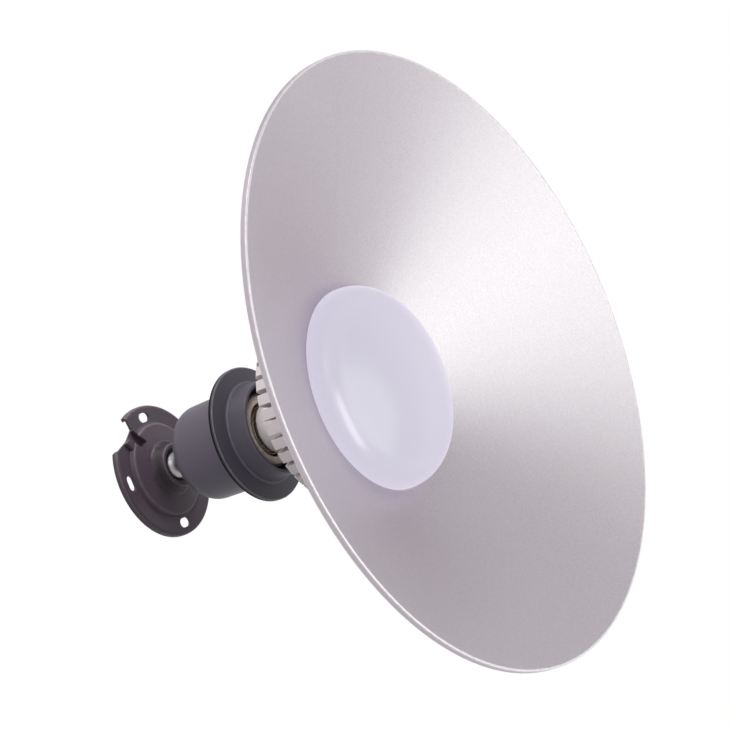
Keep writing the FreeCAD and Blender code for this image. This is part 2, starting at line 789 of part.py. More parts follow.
def ball_stud():
    body = new_body("ball_stud")
    turn(body, [
        ("stem_bore_radius", "ball_depth - sqrt(ball_radius ^ 2 - stem_bore_radius ^ 2)",
         arc("x", "0", "right")),
        ("stem_radius", "ball_depth + sqrt(ball_radius ^ 2 - stem_radius ^ 2)"),
        ("stem_radius", "stem_collar_depth"),
        ("stem_collar_radius", "stem_collar_depth"),
        ("stem_collar_radius", "cup_back_depth"),
        ("stem_radius", "cup_back_depth"),
        ("stem_radius", "stem_end_depth"),
        ("stem_bore_radius", "stem_end_depth"),
    ])
    return body


def lock_washer():
    body = new_body("lock_washer")
    turn(body, [
        ("stem_hole_radius", "cup_floor_depth"),
        ("washer_radius", "cup_floor_depth"),
        ("washer_radius", "washer_front_depth"),
        ("stem_hole_radius", "washer_front_depth"),
    ])
    return body


def lock_nut():
    body = new_body("lock_nut")
    sketch = attach(body, "HexagonOutline", "XY_Plane", "-(nut_front_depth)")
    corners = ["%d * 360 / nut_side_count" % side for side in range(SIZES["nut_side_count"])]
    draw(sketch, [("nut_corner_radius * cos(%s)" % angle, "nut_corner_radius * sin(%s)" % angle)
                  for angle in corners])
    pad(body, sketch, "nut_thickness")
    hole = attach(body, "BoreOutline", "XY_Plane", "-(washer_front_depth)")
    draw_circle(hole, "0", "0", "stem_radius + thread_hole_clearance")
    pocket(body, hole, "nut_thickness")
    return body


# Lampholder

def holder_cup():
    body = new_body("holder_cup")
    turn(body, [
        ("stem_hole_radius", "cup_back_depth"),
        ("cup_back_radius", "cup_back_depth"),
        ("cup_mouth_radius", "brim_depth"),
        ("brim_radius", "brim_depth"),
        ("brim_radius", "brim_front_depth"),
        ("mouth_bore_radius", "brim_front_depth"),
        ("mouth_bore_radius", "ledge_depth"),
        ("ledge_radius", "ledge_depth"),
        ("ledge_radius", "ledge_back_depth"),
        ("cup_bore_radius", "ledge_back_depth"),
        ("cup_bore_radius", "cup_floor_depth"),
        ("stem_hole_radius", "cup_floor_depth"),
    ])
    round_edges(body, "cup_corner_round", ("cup_back_radius", "cup_back_depth"))
    round_edges(body, "cup_inner_round", ("cup_bore_radius", "cup_floor_depth"))
    round_edges(body, "brim_foot_round", ("cup_mouth_radius", "brim_depth"))
    return body


def rim_gasket():
    body = new_body("rim_gasket")
    turn(body, [
        ("mouth_bore_radius", "brim_front_depth"),
        ("ring_radius - gasket_setback", "brim_front_depth"),
        ("ring_radius - gasket_setback", "ring_back_depth"),
        ("mouth_bore_radius", "ring_back_depth"),
    ])
    return body


def front_ring():
    body = new_body("front_ring")
    turn(body, [
        ("spigot_radius", "spigot_end_depth"),
        ("spigot_radius", "ring_back_depth"),
        ("ring_radius", "ring_back_depth"),
        ("ring_radius", "ring_edge_depth"),
        ("collar_base_radius", "collar_base_depth"),
        ("collar_mouth_radius", "mouth_depth"),
        ("collar_mouth_radius - collar_wall", "mouth_depth"),
        ("spigot_bore_radius", "spigot_end_depth"),
    ])
    round_edges(body, "collar_base_round", ("collar_base_radius", "collar_base_depth"))
    round_edges(body, "ring_edge_round", ("ring_radius", "ring_edge_depth"))
    round_edges(body, "collar_lip_round", ("collar_mouth_radius", "mouth_depth"))
    return body


def socket_body():
    body = new_body("socket_body")
    turn(body, [
        ("0", "socket_back_depth"),
        ("socket_radius", "socket_back_depth"),
        ("socket_radius", "ledge_depth"),
        ("spigot_radius", "ledge_depth"),
        ("spigot_radius", "spigot_end_depth"),
        ("socket_radius", "spigot_end_depth"),
        ("socket_radius", "socket_face_depth"),
        ("socket_bore_radius", "socket_face_depth"),
        ("socket_bore_radius", "socket_floor_depth"),
        ("0", "socket_floor_depth"),
    ])
    round_edges(body, "socket_face_round", ("socket_radius", "socket_face_depth"))
    round_edges(body, "socket_bore_round", ("socket_bore_radius", "socket_face_depth"))
    recess = attach(body, "RecessOutline", "XY_Plane", "-(socket_back_depth)")
    length = "terminal_length / 2 + terminal_clearance"
    width = "terminal_width / 2 + terminal_clearance"
    draw(recess, rectangle("terminal_place - (%s)" % length, "terminal_place + (%s)" % length,
                           "-(%s)" % width, width))
    around(body, pocket(body, recess, "terminal_recess_depth"), TERMINAL_COUNT)
    for place in ("hole_place_outer", "-(hole_place_inner)"):
        hole = attach(body, "RivetHoleOutline", "XY_Plane", "-(socket_back_depth)")
        draw_circle(hole, place, "0", "rivet_radius + thread_hole_clearance")
        pocket(body, hole, "socket_floor_depth - socket_back_depth")
    return body


def thread_points(first, last, crest, root):
    """Zigzag of a rolled thread between two half turns."""
    return [(root if half % 2 else crest, "thread_start_depth + %d * thread_pitch / 2" % half)
            for half in range(first, last + 1)]


def screw_shell():
    body = new_body("screw_shell")
    last_half = 2 * SIZES["thread_turn_count"]
    inner = thread_points(0, last_half, "shell_crest_radius", "shell_root_radius")
    outer = thread_points(0, last_half, "shell_crest_radius + shell_wall", "shell_root_radius + shell_wall")
    turn(body, [
        ("shell_flange_radius", "socket_floor_depth"),
        ("shell_crest_radius + shell_wall", "socket_floor_depth"),
    ] + outer + [
        ("shell_crest_radius + shell_wall", "shell_lip_depth"),
        ("shell_crest_radius", "shell_lip_depth"),
    ] + inner[::-1] + [
        ("shell_crest_radius", "shell_flange_depth"),
        ("shell_flange_radius", "shell_flange_depth"),
    ])
    hole = attach(body, "RivetHoleOutline", "XY_Plane", "-(socket_floor_depth)")
    draw_circle(hole, "hole_place_outer", "0", "rivet_radius + thread_hole_clearance")
    pocket(body, hole, "shell_wall")
    return body


def centre_contact():
    body = new_body("centre_contact")
    sketch = attach(body, "StripOutline", "XZ_Plane")
    foot_start = "-(hole_place_inner) - contact_foot_length / 2"
    foot_end = "-(hole_place_inner) + contact_foot_length / 2"
    tongue_start = "-contact_tongue_length / 2"
    tongue_end = "contact_tongue_length / 2"
    draw(sketch, below([
        (foot_start, "socket_floor_depth"),
        (foot_end, "socket_floor_depth"),
        (tongue_start, "cap_tip_depth - contact_thickness"),
        (tongue_end, "cap_tip_depth - contact_thickness"),
        (tongue_end, "cap_tip_depth"),
        (tongue_start, "cap_tip_depth"),
        (foot_end, "contact_foot_depth"),
        (foot_start, "contact_foot_depth"),
    ]))
    pad(body, sketch, "contact_width", midplane=True)
    hole = attach(body, "RivetHoleOutline", "XY_Plane", "-(socket_floor_depth)")
    draw_circle(hole, "-(hole_place_inner)", "0", "rivet_radius + thread_hole_clearance")
    pocket(body, hole, "contact_thickness")
    return body


def terminal(label, side, rivet_place, screw_place):
    """A brass block in its recess, with a rivet hole below and a screw hole above."""
    body = block(label, side + "terminal_place", "0", "terminal_length", "terminal_width",
                 "terminal_seat_depth", "terminal_height")
    rivet = attach(body, "RivetHoleOutline", "XY_Plane", "-(terminal_seat_depth)")
    draw_circle(rivet, side + "(%s)" % rivet_place, "0", "rivet_radius + thread_hole_clearance")
    pocket(body, rivet, "rivet_bite + thread_hole_clearance", True)
    screw = attach(body, "ScrewHoleOutline", "XY_Plane", "-(terminal_back_depth)")
    draw_circle(screw, side + "(%s)" % screw_place, "0", "screw_radius + thread_hole_clearance")
    pocket(body, screw, "terminal_height - rivet_bite + thread_hole_clearance")
    return body


def shell_terminal():
    return terminal("shell_terminal", "", "hole_place_outer", "hole_place_inner")


def centre_terminal():
    return terminal("centre_terminal", "-", "hole_place_inner", "hole_place_outer")


def pin_pair(label, pins):
    """Headed pins on the X axis, each a place, its head's seat and its far end."""
    body = new_body(label)
    for place, seat, head_radius, head_end, radius, end in pins:
        points = below([
            (place, head_end),
            ("%s + %s" % (place, head_radius), head_end),
            ("%s + %s" % (place, head_radius), seat),
            ("%s + %s" % (place, radius), seat),
            ("%s + %s" % (place, radius), end),
            (place, end),
        ])
        sketch = draw(attach(body, "PinOutline", "XZ_Plane"), points)
        feature = body.newObject("PartDesign::Revolution", "Pin")
        feature.Profile = sketch
        feature.ReferenceAxis = (sketch, ["Edge%d" % len(points)])
        feature.Angle = FULL_ANGLE
        doc.recompute()
    return body


def contact_rivets():
    end = "terminal_seat_depth - rivet_bite"
    seats = {"hole_place_outer": "shell_flange_depth", "-(hole_place_inner)": "contact_foot_depth"}
    return pin_pair("contact_rivets", [
        (place, seat, "rivet_head_radius", "%s + rivet_head_height" % seat, "rivet_radius", end)
        for place, seat in seats.items()
    ])


def terminal_screws():
    seat = "terminal_back_depth"
    return pin_pair("terminal_screws", [
        (place, seat, "screw_head_radius", "%s - screw_head_height" % seat, "screw_radius",
         "terminal_seat_depth - rivet_bite")
        for place in ("hole_place_inner", "-(hole_place_outer)")
    ])


# Screw cap and neck of the lamp

def lamp_cap():
    body = new_body("lamp_cap")
    crest_inside = "thread_crest_radius - cap_wall"
    root_inside = "thread_root_radius - cap_wall"
    last_half = 2 * SIZES["thread_turn_count"] + CAP_EXTRA_COUNT
    outer = thread_points(CAP_SKIPPED_COUNT, last_half, "thread_crest_radius", "thread_root_radius")
    inner = thread_points(CAP_SKIPPED_COUNT, last_half, crest_inside, root_inside)
    turn(body, [
        (root_inside, "cap_end_depth"),
        ("thread_root_radius", "cap_end_depth"),
    ] + outer + [
        ("thread_crest_radius", "neck_rear_depth"),
        (crest_inside, "neck_rear_depth"),
    ] + inner[::-1])
    return body


def cap_insulator():
    body = new_body("cap_insulator")
    hole = "cap_pin_radius + thread_hole_clearance"
    turn(body, [
        (hole, "insulator_end_depth"),
        ("cap_button_radius", "insulator_end_depth"),
        ("insulator_radius", "cap_end_depth"),
        ("insulator_radius", "insulator_rim_depth"),
        (hole, "insulator_rim_depth"),
    ])
    return body


def cap_contact():
    body = new_body("cap_contact")
    turn(body, [
        ("0", "cap_tip_depth"),
        ("cap_button_radius / 2", "cap_tip_depth"),
        ("cap_button_radius", "cap_tip_depth + cap_button_crown"),
        ("cap_button_radius", "insulator_end_depth"),
        ("cap_pin_radius", "insulator_end_depth"),
        ("cap_pin_radius", "insulator_rim_depth"),
        ("0", "insulator_rim_depth"),
    ])
    return body


def neck_housing():
    body = new_body("neck_housing")
    turn(body, [
        ("cap_spigot_bore", "cap_spigot_depth"),
        ("cap_spigot_radius", "cap_spigot_depth"),
        ("cap_spigot_radius", "neck_rear_depth"),
        ("neck_radius", "neck_rear_depth"),
        ("neck_radius", "neck_flare_depth"),
        ("neck_flare_radius", "neck_flange_depth"),
        ("neck_flange_radius", "neck_flange_depth"),
        ("neck_flange_radius", "sink_rear_depth"),
        ("plug_radius", "sink_rear_depth"),
        ("plug_radius", "plug_end_depth"),
        ("plug_bore_radius", "plug_end_depth"),
        ("plug_bore_radius", "neck_flange_depth"),
        ("neck_bore_radius", "neck_flare_depth"),
        ("neck_bore_radius", "neck_rear_depth + neck_wall"),
        ("cap_spigot_bore", "neck_rear_depth + neck_wall"),
    ])
    round_edges(body, "neck_flare_round", ("neck_radius", "neck_flare_depth"))
    round_edges(body, "neck_rear_round", ("neck_radius", "neck_rear_depth"))
    drill(body, "housing_screw_ring", "screw_radius + screw_hole_clearance", "neck_flange_depth",
          "neck_flange_thickness", "housing_screw_count")
    return body


def housing_screws():
    return screw_group("housing_screws", "housing_screw_ring", "neck_flange_depth",
                       "neck_flange_thickness + housing_screw_bite", "housing_screw_count")


# Heat sink and driver

def heat_sink():
    body = new_body("heat_sink")
    turn(body, [
        ("sink_bore_radius", "sink_rear_depth"),
        ("sink_radius", "sink_rear_depth"),
        ("sink_radius", "sink_front_depth"),
        ("pad_radius", "sink_front_depth"),
        ("pad_radius", "pad_front_depth"),
        ("lead_hole_radius", "pad_front_depth"),
        ("lead_hole_radius", "sink_floor_depth"),
        ("sink_bore_radius", "sink_floor_depth"),
    ])
    bevel_edges(body, "sink_corner_chamfer", ("sink_radius", "sink_rear_depth"))
    gap = attach(body, "FinGapOutline", "XY_Plane", "-(sink_rear_depth)", "180 / fin_count")
    draw(gap, [
        ("fin_root_radius", "fin_root_gap / 2", arc("x", "fin_root_radius", "left")),
        ("fin_root_radius", "-fin_root_gap / 2"),
        ("sink_radius + fin_gap", "-fin_gap / 2"),
        ("sink_radius + fin_gap", "fin_gap / 2"),
    ])
    around(body, pocket(body, gap, "sink_length - sink_plate_thickness"), "fin_count")
    boss = attach(body, "BossOutline", "XY_Plane", "-(sink_floor_depth)", DRIVER_SCREW_ANGLE)
    draw_circle(boss, "driver_screw_ring", "0", "boss_radius")
    around(body, pad(body, boss, "boss_height"), "driver_screw_count")
    hole = "screw_radius + thread_hole_clearance"
    drill(body, "driver_screw_ring", hole, "board_front_depth",
          "driver_screw_bite + thread_hole_clearance", "driver_screw_count", DRIVER_SCREW_ANGLE)
    drill(body, "housing_screw_ring", hole, "sink_rear_depth",
          "housing_screw_bite + thread_hole_clearance", "housing_screw_count")
    drill(body, "board_screw_ring", hole, "pad_front_depth",
          "board_screw_bite + thread_hole_clearance", "board_screw_count", BOARD_SCREW_ANGLE, True)
    drill(body, "reflector_screw_ring", hole, "sink_front_depth",
          "reflector_screw_bite + thread_hole_clearance", "reflector_screw_count", upwards=True)
    lug_holes(body, "sink_front_depth", "lug_length - sheet_thickness + lug_clearance")
    return body


def lug_outline(clearance):
    """Outline of one diffuser lug, widened by a clearance."""
    return rectangle("lug_inner_radius - (%s)" % clearance, "lug_outer_radius + (%s)" % clearance,
                     "-lug_width / 2 - (%s)" % clearance, "lug_width / 2 + (%s)" % clearance)


def lug_holes(body, depth, length):
    """The ring of openings that take the diffuser's lugs, cut upwards from a depth."""
    sketch = attach(body, "LugHoleOutline", "XY_Plane", "-(%s)" % depth, LUG_ANGLE)
    around(body, pocket(body, draw(sketch, lug_outline("lug_clearance")), length, True), "lug_count")


def driver_board():
    body = new_body("driver_board")
    turn(body, [
        ("0", "board_back_depth"),
        ("board_radius", "board_back_depth"),
        ("board_radius", "board_front_depth"),
        ("0", "board_front_depth"),
    ])
    drill(body, "driver_screw_ring", "screw_radius + screw_hole_clearance", "board_back_depth",
          "board_thickness", "driver_screw_count", DRIVER_SCREW_ANGLE)
    return body


def driver_screws():
    return screw_group("driver_screws", "driver_screw_ring", "board_back_depth",
                       "board_thickness + driver_screw_bite", "driver_screw_count", DRIVER_SCREW_ANGLE)


def transformer():
    body = block("transformer", "transformer_place", "0", "transformer_length", "transformer_width",
                 "board_back_depth", "transformer_height")
    winding = attach(body, "WindingOutline", "XY_Plane", "-(board_back_depth)")
    half_length = "winding_length / 2"
    half_width = "transformer_width / 2 + winding_bulge"
    draw(winding, rectangle("transformer_place - " + half_length, "transformer_place + " + half_length,
                            "-(%s)" % half_width, half_width))
    pad(body, winding, "transformer_height - winding_bulge")
    return body


def standing_part(label, place_y, profile):
    """A round part that stands on the driver board, turned about its own axis."""
    body = new_body(label)
    points = [("part_place_x + (%s)" % radius if radius != "0" else "part_place_x",
               "-(board_back_depth) + (%s)" % height) for radius, height in profile]
    sketch = attach(body, "PartOutline", "XZ_Plane", "-(%s)" % place_y)
    feature = body.newObject("PartDesign::Revolution", "Part")
    feature.Profile = draw(sketch, points)
    feature.ReferenceAxis = (sketch, ["Edge%d" % len(points)])
    feature.Angle = FULL_ANGLE
    doc.recompute()
    return body


def capacitor():
    crimp = "capacitor_radius - capacitor_crimp_depth"
    return standing_part("capacitor", "part_place_y", [
        ("0", "0"),
        ("capacitor_radius", "0"),
        ("capacitor_radius", "capacitor_crimp_height / 2"),
        (crimp, "capacitor_crimp_height"),
        ("capacitor_radius", "capacitor_crimp_height * 3 / 2"),
        ("capacitor_radius", "capacitor_height - capacitor_edge_round"),
        ("capacitor_radius - capacitor_edge_round", "capacitor_height"),
        ("0", "capacitor_height"),
    ])


def choke():
    waist = "choke_radius - choke_waist_depth"
    return standing_part("choke", "-part_place_y", [
        ("0", "0"),
        ("choke_radius", "0"),
        ("choke_radius", "choke_flange"),
        (waist, "choke_flange"),
        (waist, "choke_height - choke_flange"),
        ("choke_radius", "choke_height - choke_flange"),
        ("choke_radius", "choke_height"),
        ("0", "choke_height"),
    ])


def cap_leads():
    """Leads from the driver board to the pin of the cap and to its shell."""
    radius = value("cap_lead_radius")
    bend = value("cap_lead_bend")
    board = -value("board_back_depth")
    place_x = value("cap_lead_place_x")
    place_y = value("cap_lead_place_y")
    flare = -value("neck_flange_depth")
    neck = -value("neck_flare_depth")
    pin_end = -value("insulator_rim_depth")
    shell_end = -value("cap_spigot_depth") + radius
    wall = value("cap_spigot_bore") - value("lead_clearance") - radius
    to_pin = [
        Vector(place_x, place_y, board),
        Vector(place_x, place_y, flare),
        Vector(0, 0, neck),
        Vector(0, 0, pin_end),
    ]
    to_shell = [
        Vector(-place_x, place_y, board),
        Vector(-place_x, place_y, flare),
        Vector(-wall, 0, neck),
        Vector(-wall, 0, shell_end),
    ]
    return lead_group("cap_leads", [lead(to_pin, radius, bend), lead(to_shell, radius, bend)])


def led_leads():
    """Leads from the driver board, down through the heat sink and out over the light board."""
    radius = value("led_lead_radius")
    board = -value("board_front_depth")
    run = -value("led_board_front_depth") - radius
    shapes = []
    for side in (-1, 1):
        place = side * value("led_lead_spacing")
        reach = side * value("led_lead_reach")
        shapes.append(lead([Vector(place, 0, board), Vector(place, 0, run), Vector(reach, 0, run)],
                           radius, value("led_lead_bend")))
    return lead_group("led_leads", shapes)


# Light source

def board_disc(label, back_depth, front_depth, thickness):
    """A disc under the diffuser with the lead hole and the board screws' holes."""
    body = new_body(label)
    turn(body, [
        ("lead_hole_radius", back_depth),
        ("led_board_radius", back_depth),
        ("led_board_radius", front_depth),
        ("lead_hole_radius", front_depth),
    ])
    drill(body, "board_screw_ring", "screw_radius + screw_hole_clearance", back_depth, thickness,
          "board_screw_count", BOARD_SCREW_ANGLE)
    return body


def thermal_pad():
    return board_disc("thermal_pad", "pad_front_depth", "thermal_front_depth", "thermal_pad_thickness")


def led_board():
    return board_disc("led_board", "thermal_front_depth", "led_board_front_depth", "led_board_thickness")


def led_chips():
    body = new_body("led_chips")
    for ring in ("inner", "middle", "outer"):
        place = "led_ring_" + ring
        count = "led_count_" + ring
        sketch = attach(body, "ChipOutline", "XY_Plane", "-(led_board_front_depth)", "180 / " + count)
        draw(sketch, rectangle(place + " - led_size / 2", place + " + led_size / 2",
                               "-led_size / 2", "led_size / 2"))
        around(body, pad(body, sketch, "led_height", True), count)
    return body


def board_screws():
    return screw_group("board_screws", "board_screw_ring", "led_board_front_depth",
                       "led_board_thickness + thermal_pad_thickness + board_screw_bite",
                       "board_screw_count", BOARD_SCREW_ANGLE, True)


# Reflector and diffuser

def reflector():
    body = new_body("reflector")
    turn(body, [
        ("reflector_hole_radius", "sink_front_depth"),
        ("cone_back_foot_radius", "sink_front_depth"),
        ("hem_heel_radius", "hem_heel_depth"),
        ("rim_radius", "hem_heel_depth"),
        ("rim_radius", "rim_depth"),
        ("hem_bore_radius", "rim_depth"),
        ("cone_foot_radius", "sheet_front_depth"),
        ("reflector_hole_radius", "sheet_front_depth"),
    ])
    round_edges(body, "cone_foot_round", ("cone_foot_radius", "sheet_front_depth"))
    round_edges(body, "cone_foot_round + sheet_thickness", ("cone_back_foot_radius", "sink_front_depth"))
    round_edges(body, "hem_round", ("rim_radius", "rim_depth"), ("hem_bore_radius", "rim_depth"),
                ("rim_radius", "hem_heel_depth"))
    drill(body, "reflector_screw_ring", "screw_radius + screw_hole_clearance", "sheet_front_depth",
          "sheet_thickness", "reflector_screw_count", upwards=True)
    lug_holes(body, "sheet_front_depth", "sheet_thickness")
    return body


def reflector_screws():
    return screw_group("reflector_screws", "reflector_screw_ring", "sheet_front_depth",
                       "sheet_thickness + reflector_screw_bite", "reflector_screw_count", upwards=True)


def diffuser():
    body = new_body("diffuser")
    turn(body, [
        ("diffuser_radius", "sheet_front_depth"),
        ("diffuser_radius", "side_end_depth", arc("y", "side_end_depth", "right")),
        ("shoulder_radius_at_crown", "shoulder_depth_at_crown", arc("x", "0", "right")),
        ("0", "diffuser_top_depth"),
        ("0", "diffuser_top_depth - diffuser_wall", arc("x", "0", "left")),
        ("inner_radius_at_crown", "inner_depth_at_crown", arc("y", "side_end_depth", "left")),
        ("diffuser_bore_radius", "side_end_depth"),
        ("diffuser_bore_radius", "diffuser_foot_depth"),
        ("diffuser_foot_radius", "diffuser_foot_depth"),
        ("diffuser_foot_radius", "sheet_front_depth"),
    ])
    lug = attach(body, "LugOutline", "XY_Plane", "-(sheet_front_depth)", LUG_ANGLE)
    around(body, pad(body, draw(lug, lug_outline("0")), "lug_length"), "lug_count")
    return body


PIECES = [
    ceiling_base, clamp_plate, clamp_screws, ball_seat, ball_stud, lock_washer, lock_nut,
    holder_cup, rim_gasket, front_ring, socket_body, screw_shell, centre_contact, shell_terminal,
    centre_terminal, contact_rivets, terminal_screws,
    lamp_cap, cap_insulator, cap_contact, neck_housing, housing_screws,
    heat_sink, driver_board, driver_screws, transformer, capacitor, choke, cap_leads, led_leads,
    thermal_pad, led_board, led_chips, board_screws,
    reflector, reflector_screws, diffuser,
]


def check(pieces):
    """Stops if any feature failed or a piece has no valid solid."""
    for feature in doc.Objects:
        if "Invalid" in feature.State or "Error" in feature.State:
            raise RuntimeError("%s failed" % feature.Label)
    for piece in pieces:
        if piece.Shape.isNull() or not piece.Shape.isValid() or not piece.Shape.Solids:
            raise RuntimeError("%s has no valid solid" % piece.Label)


def main():
    pieces = [make() for make in PIECES]
    doc.recompute()
    check(pieces)
    os.makedirs("parts", exist_ok=True)
    for piece in pieces:
        piece.Shape.exportStep("parts/%s.step" % piece.Label)


main()
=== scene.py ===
"""Looks and stage of a low bay light on a ball swivel.

The light has a ceiling base, a screw lampholder, a finned lamp and its reflector. Lengths are in metres, in the
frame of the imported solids: the ceiling is at z = 0 and the light hangs below it.
"""
import math

import bmesh
import bpy
from bpy.props import FloatProperty, FloatVectorProperty, PointerProperty
from mathutils import Matrix, Vector


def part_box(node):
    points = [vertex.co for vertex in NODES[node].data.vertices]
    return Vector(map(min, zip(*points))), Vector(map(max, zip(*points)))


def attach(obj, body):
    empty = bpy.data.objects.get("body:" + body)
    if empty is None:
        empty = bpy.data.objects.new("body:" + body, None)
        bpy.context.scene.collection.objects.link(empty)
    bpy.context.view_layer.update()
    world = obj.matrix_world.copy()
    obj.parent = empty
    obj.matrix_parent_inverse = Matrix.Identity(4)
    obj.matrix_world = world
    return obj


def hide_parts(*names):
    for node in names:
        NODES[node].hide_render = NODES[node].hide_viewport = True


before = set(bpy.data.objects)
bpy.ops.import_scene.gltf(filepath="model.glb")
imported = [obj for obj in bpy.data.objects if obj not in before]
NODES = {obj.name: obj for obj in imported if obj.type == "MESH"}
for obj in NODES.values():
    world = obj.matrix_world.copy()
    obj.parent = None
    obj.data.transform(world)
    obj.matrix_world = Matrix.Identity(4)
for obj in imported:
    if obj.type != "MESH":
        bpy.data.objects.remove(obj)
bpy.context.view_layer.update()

bl_info = {
    "name": "Low Bay Light",
    "version": (1, 0, 0),
    "blender": (4, 5, 0),
    "location": "3D View > Sidebar > Low Bay",
    "description": "Gives a low bay light its finishes, its small fasteners and a plain studio",
    "category": "Object",
}

MM = 0.001
RIM_CENTRE = Vector((0.0, 0.0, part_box("reflector")[0].z))
WHITE = (1.0, 1.0, 1.0)

# Photograph's camera, worked out from the ellipses of the rim, the skirt, the neck and the base
PICTURE_PIXELS = 730
FOCAL_PIXELS = 2700.0
SENSOR_WIDTH = 36.0
AXIS_TILT = 0.9803851
AXIS_ROLL = 0.3764126
RIM_RIGHT = 0.050711
RIM_UP = 0.005576
RIM_DISTANCE = 1.411736
CAMERA_REACH = 60.0

# Where the lower part of the reflector looks when it mirrors, and the span over which the shade comes in there
FAR_SIDE = Vector((0.90, 0.43, 0.0))
FAR_SIDE_SPAN = (0.3, 0.8)

# Lights aimed a little above the middle of the rim, with their places from the point they are aimed at
AIM_RISE = 0.06
MOUTH_PLACE = Vector((-0.33, 0.13, -1.60))
MOUTH_SIZE = 1.7
MOUTH_COLOUR = (0.90, 1.0, 0.915)
STRIP_PLACE = Vector((-0.50, -0.97, -1.03))
STRIP_RUN = Vector((-1.01, 0.26, 0.32))
STRIP_LENGTH = 1.5
STRIP_WIDTH = 0.55

# Lights placed by the camera: so far right, up and back towards it from the point they are aimed at
KEY_PLACE = (-0.8, 1.0, 1.4)
KEY_SIZE = 1.2
TOP_PLACE = (-1.0, 1.5, 0.2)
TOP_SIZE = 0.8
BASE_MIDDLE = Vector((0.0, 0.0, -0.006))
BASE_PLACE = (0.05, 0.45, 0.10)
BASE_SIZE = 0.2
BASE_COLOUR = (1.0, 0.95, 0.95)

# Turned edges that a finish lightens or darkens: their colour, then the radius, the depth below the ceiling and
# the width of each, in millimetres
EDGES = {
    # Painted shade on the reflector's hem behind its lip, then a painted highlight along the lip
    "hem_back_painted_shade": ((0.46, 0.41, 0.45), (170.2, 214.3, 2.2)),
    "hem_lip_painted_highlight": ((0.76, 0.72, 0.75), (169.4, 216.3, 1.1)),
    # Painted shade round the foot of the boss, where the cup shades it
    "boss_foot_painted_shade": ((0.014, 0.010, 0.014), (13.4, 11.4, 6.0)),
    # Lighter turned edges of the base: partly wear, partly painted highlight
    "base_edges_wear_and_painted_highlight": ((0.088, 0.070, 0.079), (38.3, 2.6, 1.0), (26.6, 5.8, 1.2), (12.2, 14.6, 0.9)),
    # Painted highlight along the cup's brim
    "brim_edge_painted_highlight": ((0.20, 0.19, 0.21), (37.6, 71.7, 0.7)),
    # Painted shade on the ring's seat next to the seal
    "ring_seat_painted_shade": ((0.006, 0.006, 0.007), (38.5, 73.3, 1.0)),
    # Painted highlight along the ring's outer edge
    "ring_edge_painted_highlight": ((0.17, 0.17, 0.19), (38.1, 74.4, 0.5)),
    # Painted highlights at the collar's foot and along its mouth
    "collar_edges_painted_highlight": ((0.095, 0.09, 0.12), (29.0, 77.0, 1.0), (26.6, 87.9, 0.7)),
    # Painted shade on the porcelain deep inside the collar
    "socket_rim_painted_shade": ((0.14, 0.105, 0.085), (20.6, 82.2, 5.0)),
    "sink_shoulder": ((0.60, 0.565, 0.57), (52.0, 118.2, 2.2)),
}

# Painted glow of the frosted dome, for light scattered in its wall though the lamp is off,
# and the heights between which it grows towards the foot
DOME_GLOW = (0.877, 0.833, 1.0)
DOME_GLOW_STRENGTH = 0.575
DOME_GLOW_FROM = -0.176
DOME_GLOW_TO = -0.158
DOME_GLOW_GAIN = 1.16
DOME_SCATTER = (0.004, 0.004, 0.005)

# Colours of the pieces inside, of stains and dust, and of the floor
NYLON = (0.72, 0.70, 0.64)
CAP_GLASS = (0.016, 0.016, 0.019)
SOLDER_MASK = (0.03, 0.15, 0.06)
FERRITE = (0.05, 0.05, 0.052)
CAN_SLEEVE = (0.02, 0.03, 0.07)
COPPER = (0.55, 0.23, 0.09)
LEAD_SLEEVE = (0.42, 0.03, 0.03)
SILICONE = (0.36, 0.36, 0.38)
WHITE_MASK = (0.78, 0.78, 0.76)
PHOSPHOR = (0.82, 0.64, 0.16)
STAIN = (0.30, 0.25, 0.19)
STAIN_SHARE = 0.25
DUST = (0.42, 0.40, 0.38)
PALE_FLOOR = (0.86, 0.86, 0.86)

# Scales and spans of noise, slope and width that the shared effects work over
STAIN_SPAN = (0.45, 0.7)
EDGE_NOISE_SCALE = 260.0
EDGE_NOISE_SPAN = (0.3, 0.7)
EDGE_WIDTH_SPAN = (0.6, 1.3)
EDGE_FADE_SPAN = (0.2, 1.0)
DUST_NOISE_SCALE = 90.0
DUST_NOISE_SPAN = (0.35, 0.7)
DUST_SLOPE_SPAN = (0.4, 1.0)

# Screws, read from their plain solids: all have a pan head and a cross recess
SCREW_BODIES = {"clamp_screws": "base", "housing_screws": "lamp_head", "driver_screws": "lamp_head",
                "board_screws": "lamp_head", "reflector_screws": "lamp_head", "terminal_screws": "lamp_head"}
WELD_GAP = 0.00002
SHANK_SHARE = 0.75
SCREW_SEGMENTS = 32
THREAD_PITCH = 0.0005
THREAD_DEPTH = 0.0003
THREAD_STEPS = 4
PLAIN_RUN = 0.0004
HEAD_ARC_STEPS = 6
HEAD_WALL_SHARE = 0.45
CROSS_ARM = 0.0014
CROSS_WIDTH = 0.0004
CROSS_DEPTH = 0.0011
CROSS_TAPER = 0.55
SHARP_ANGLE = math.radians(35)


def colour_property(label, about, value):
    """A colour that a user may change."""
    return FloatVectorProperty(name=label, description=about, subtype="COLOR", size=3, min=0.0, max=1.0,
                               default=value)


def length_property(label, about, value):
    """A length in metres that a user may change."""
    return FloatProperty(name=label, description=about, subtype="DISTANCE", unit="LENGTH", min=0.0,
                         default=value, precision=5)


def share_property(label, about, value):
    """A share from nothing to all that a user may change."""
    return FloatProperty(name=label, description=about, subtype="FACTOR", min=0.0, max=1.0, default=value)


def power_property(label, about, value):
    """A light's power in watts that a user may change."""
    return FloatProperty(name=label, description=about, unit="POWER", min=0.0, default=value)


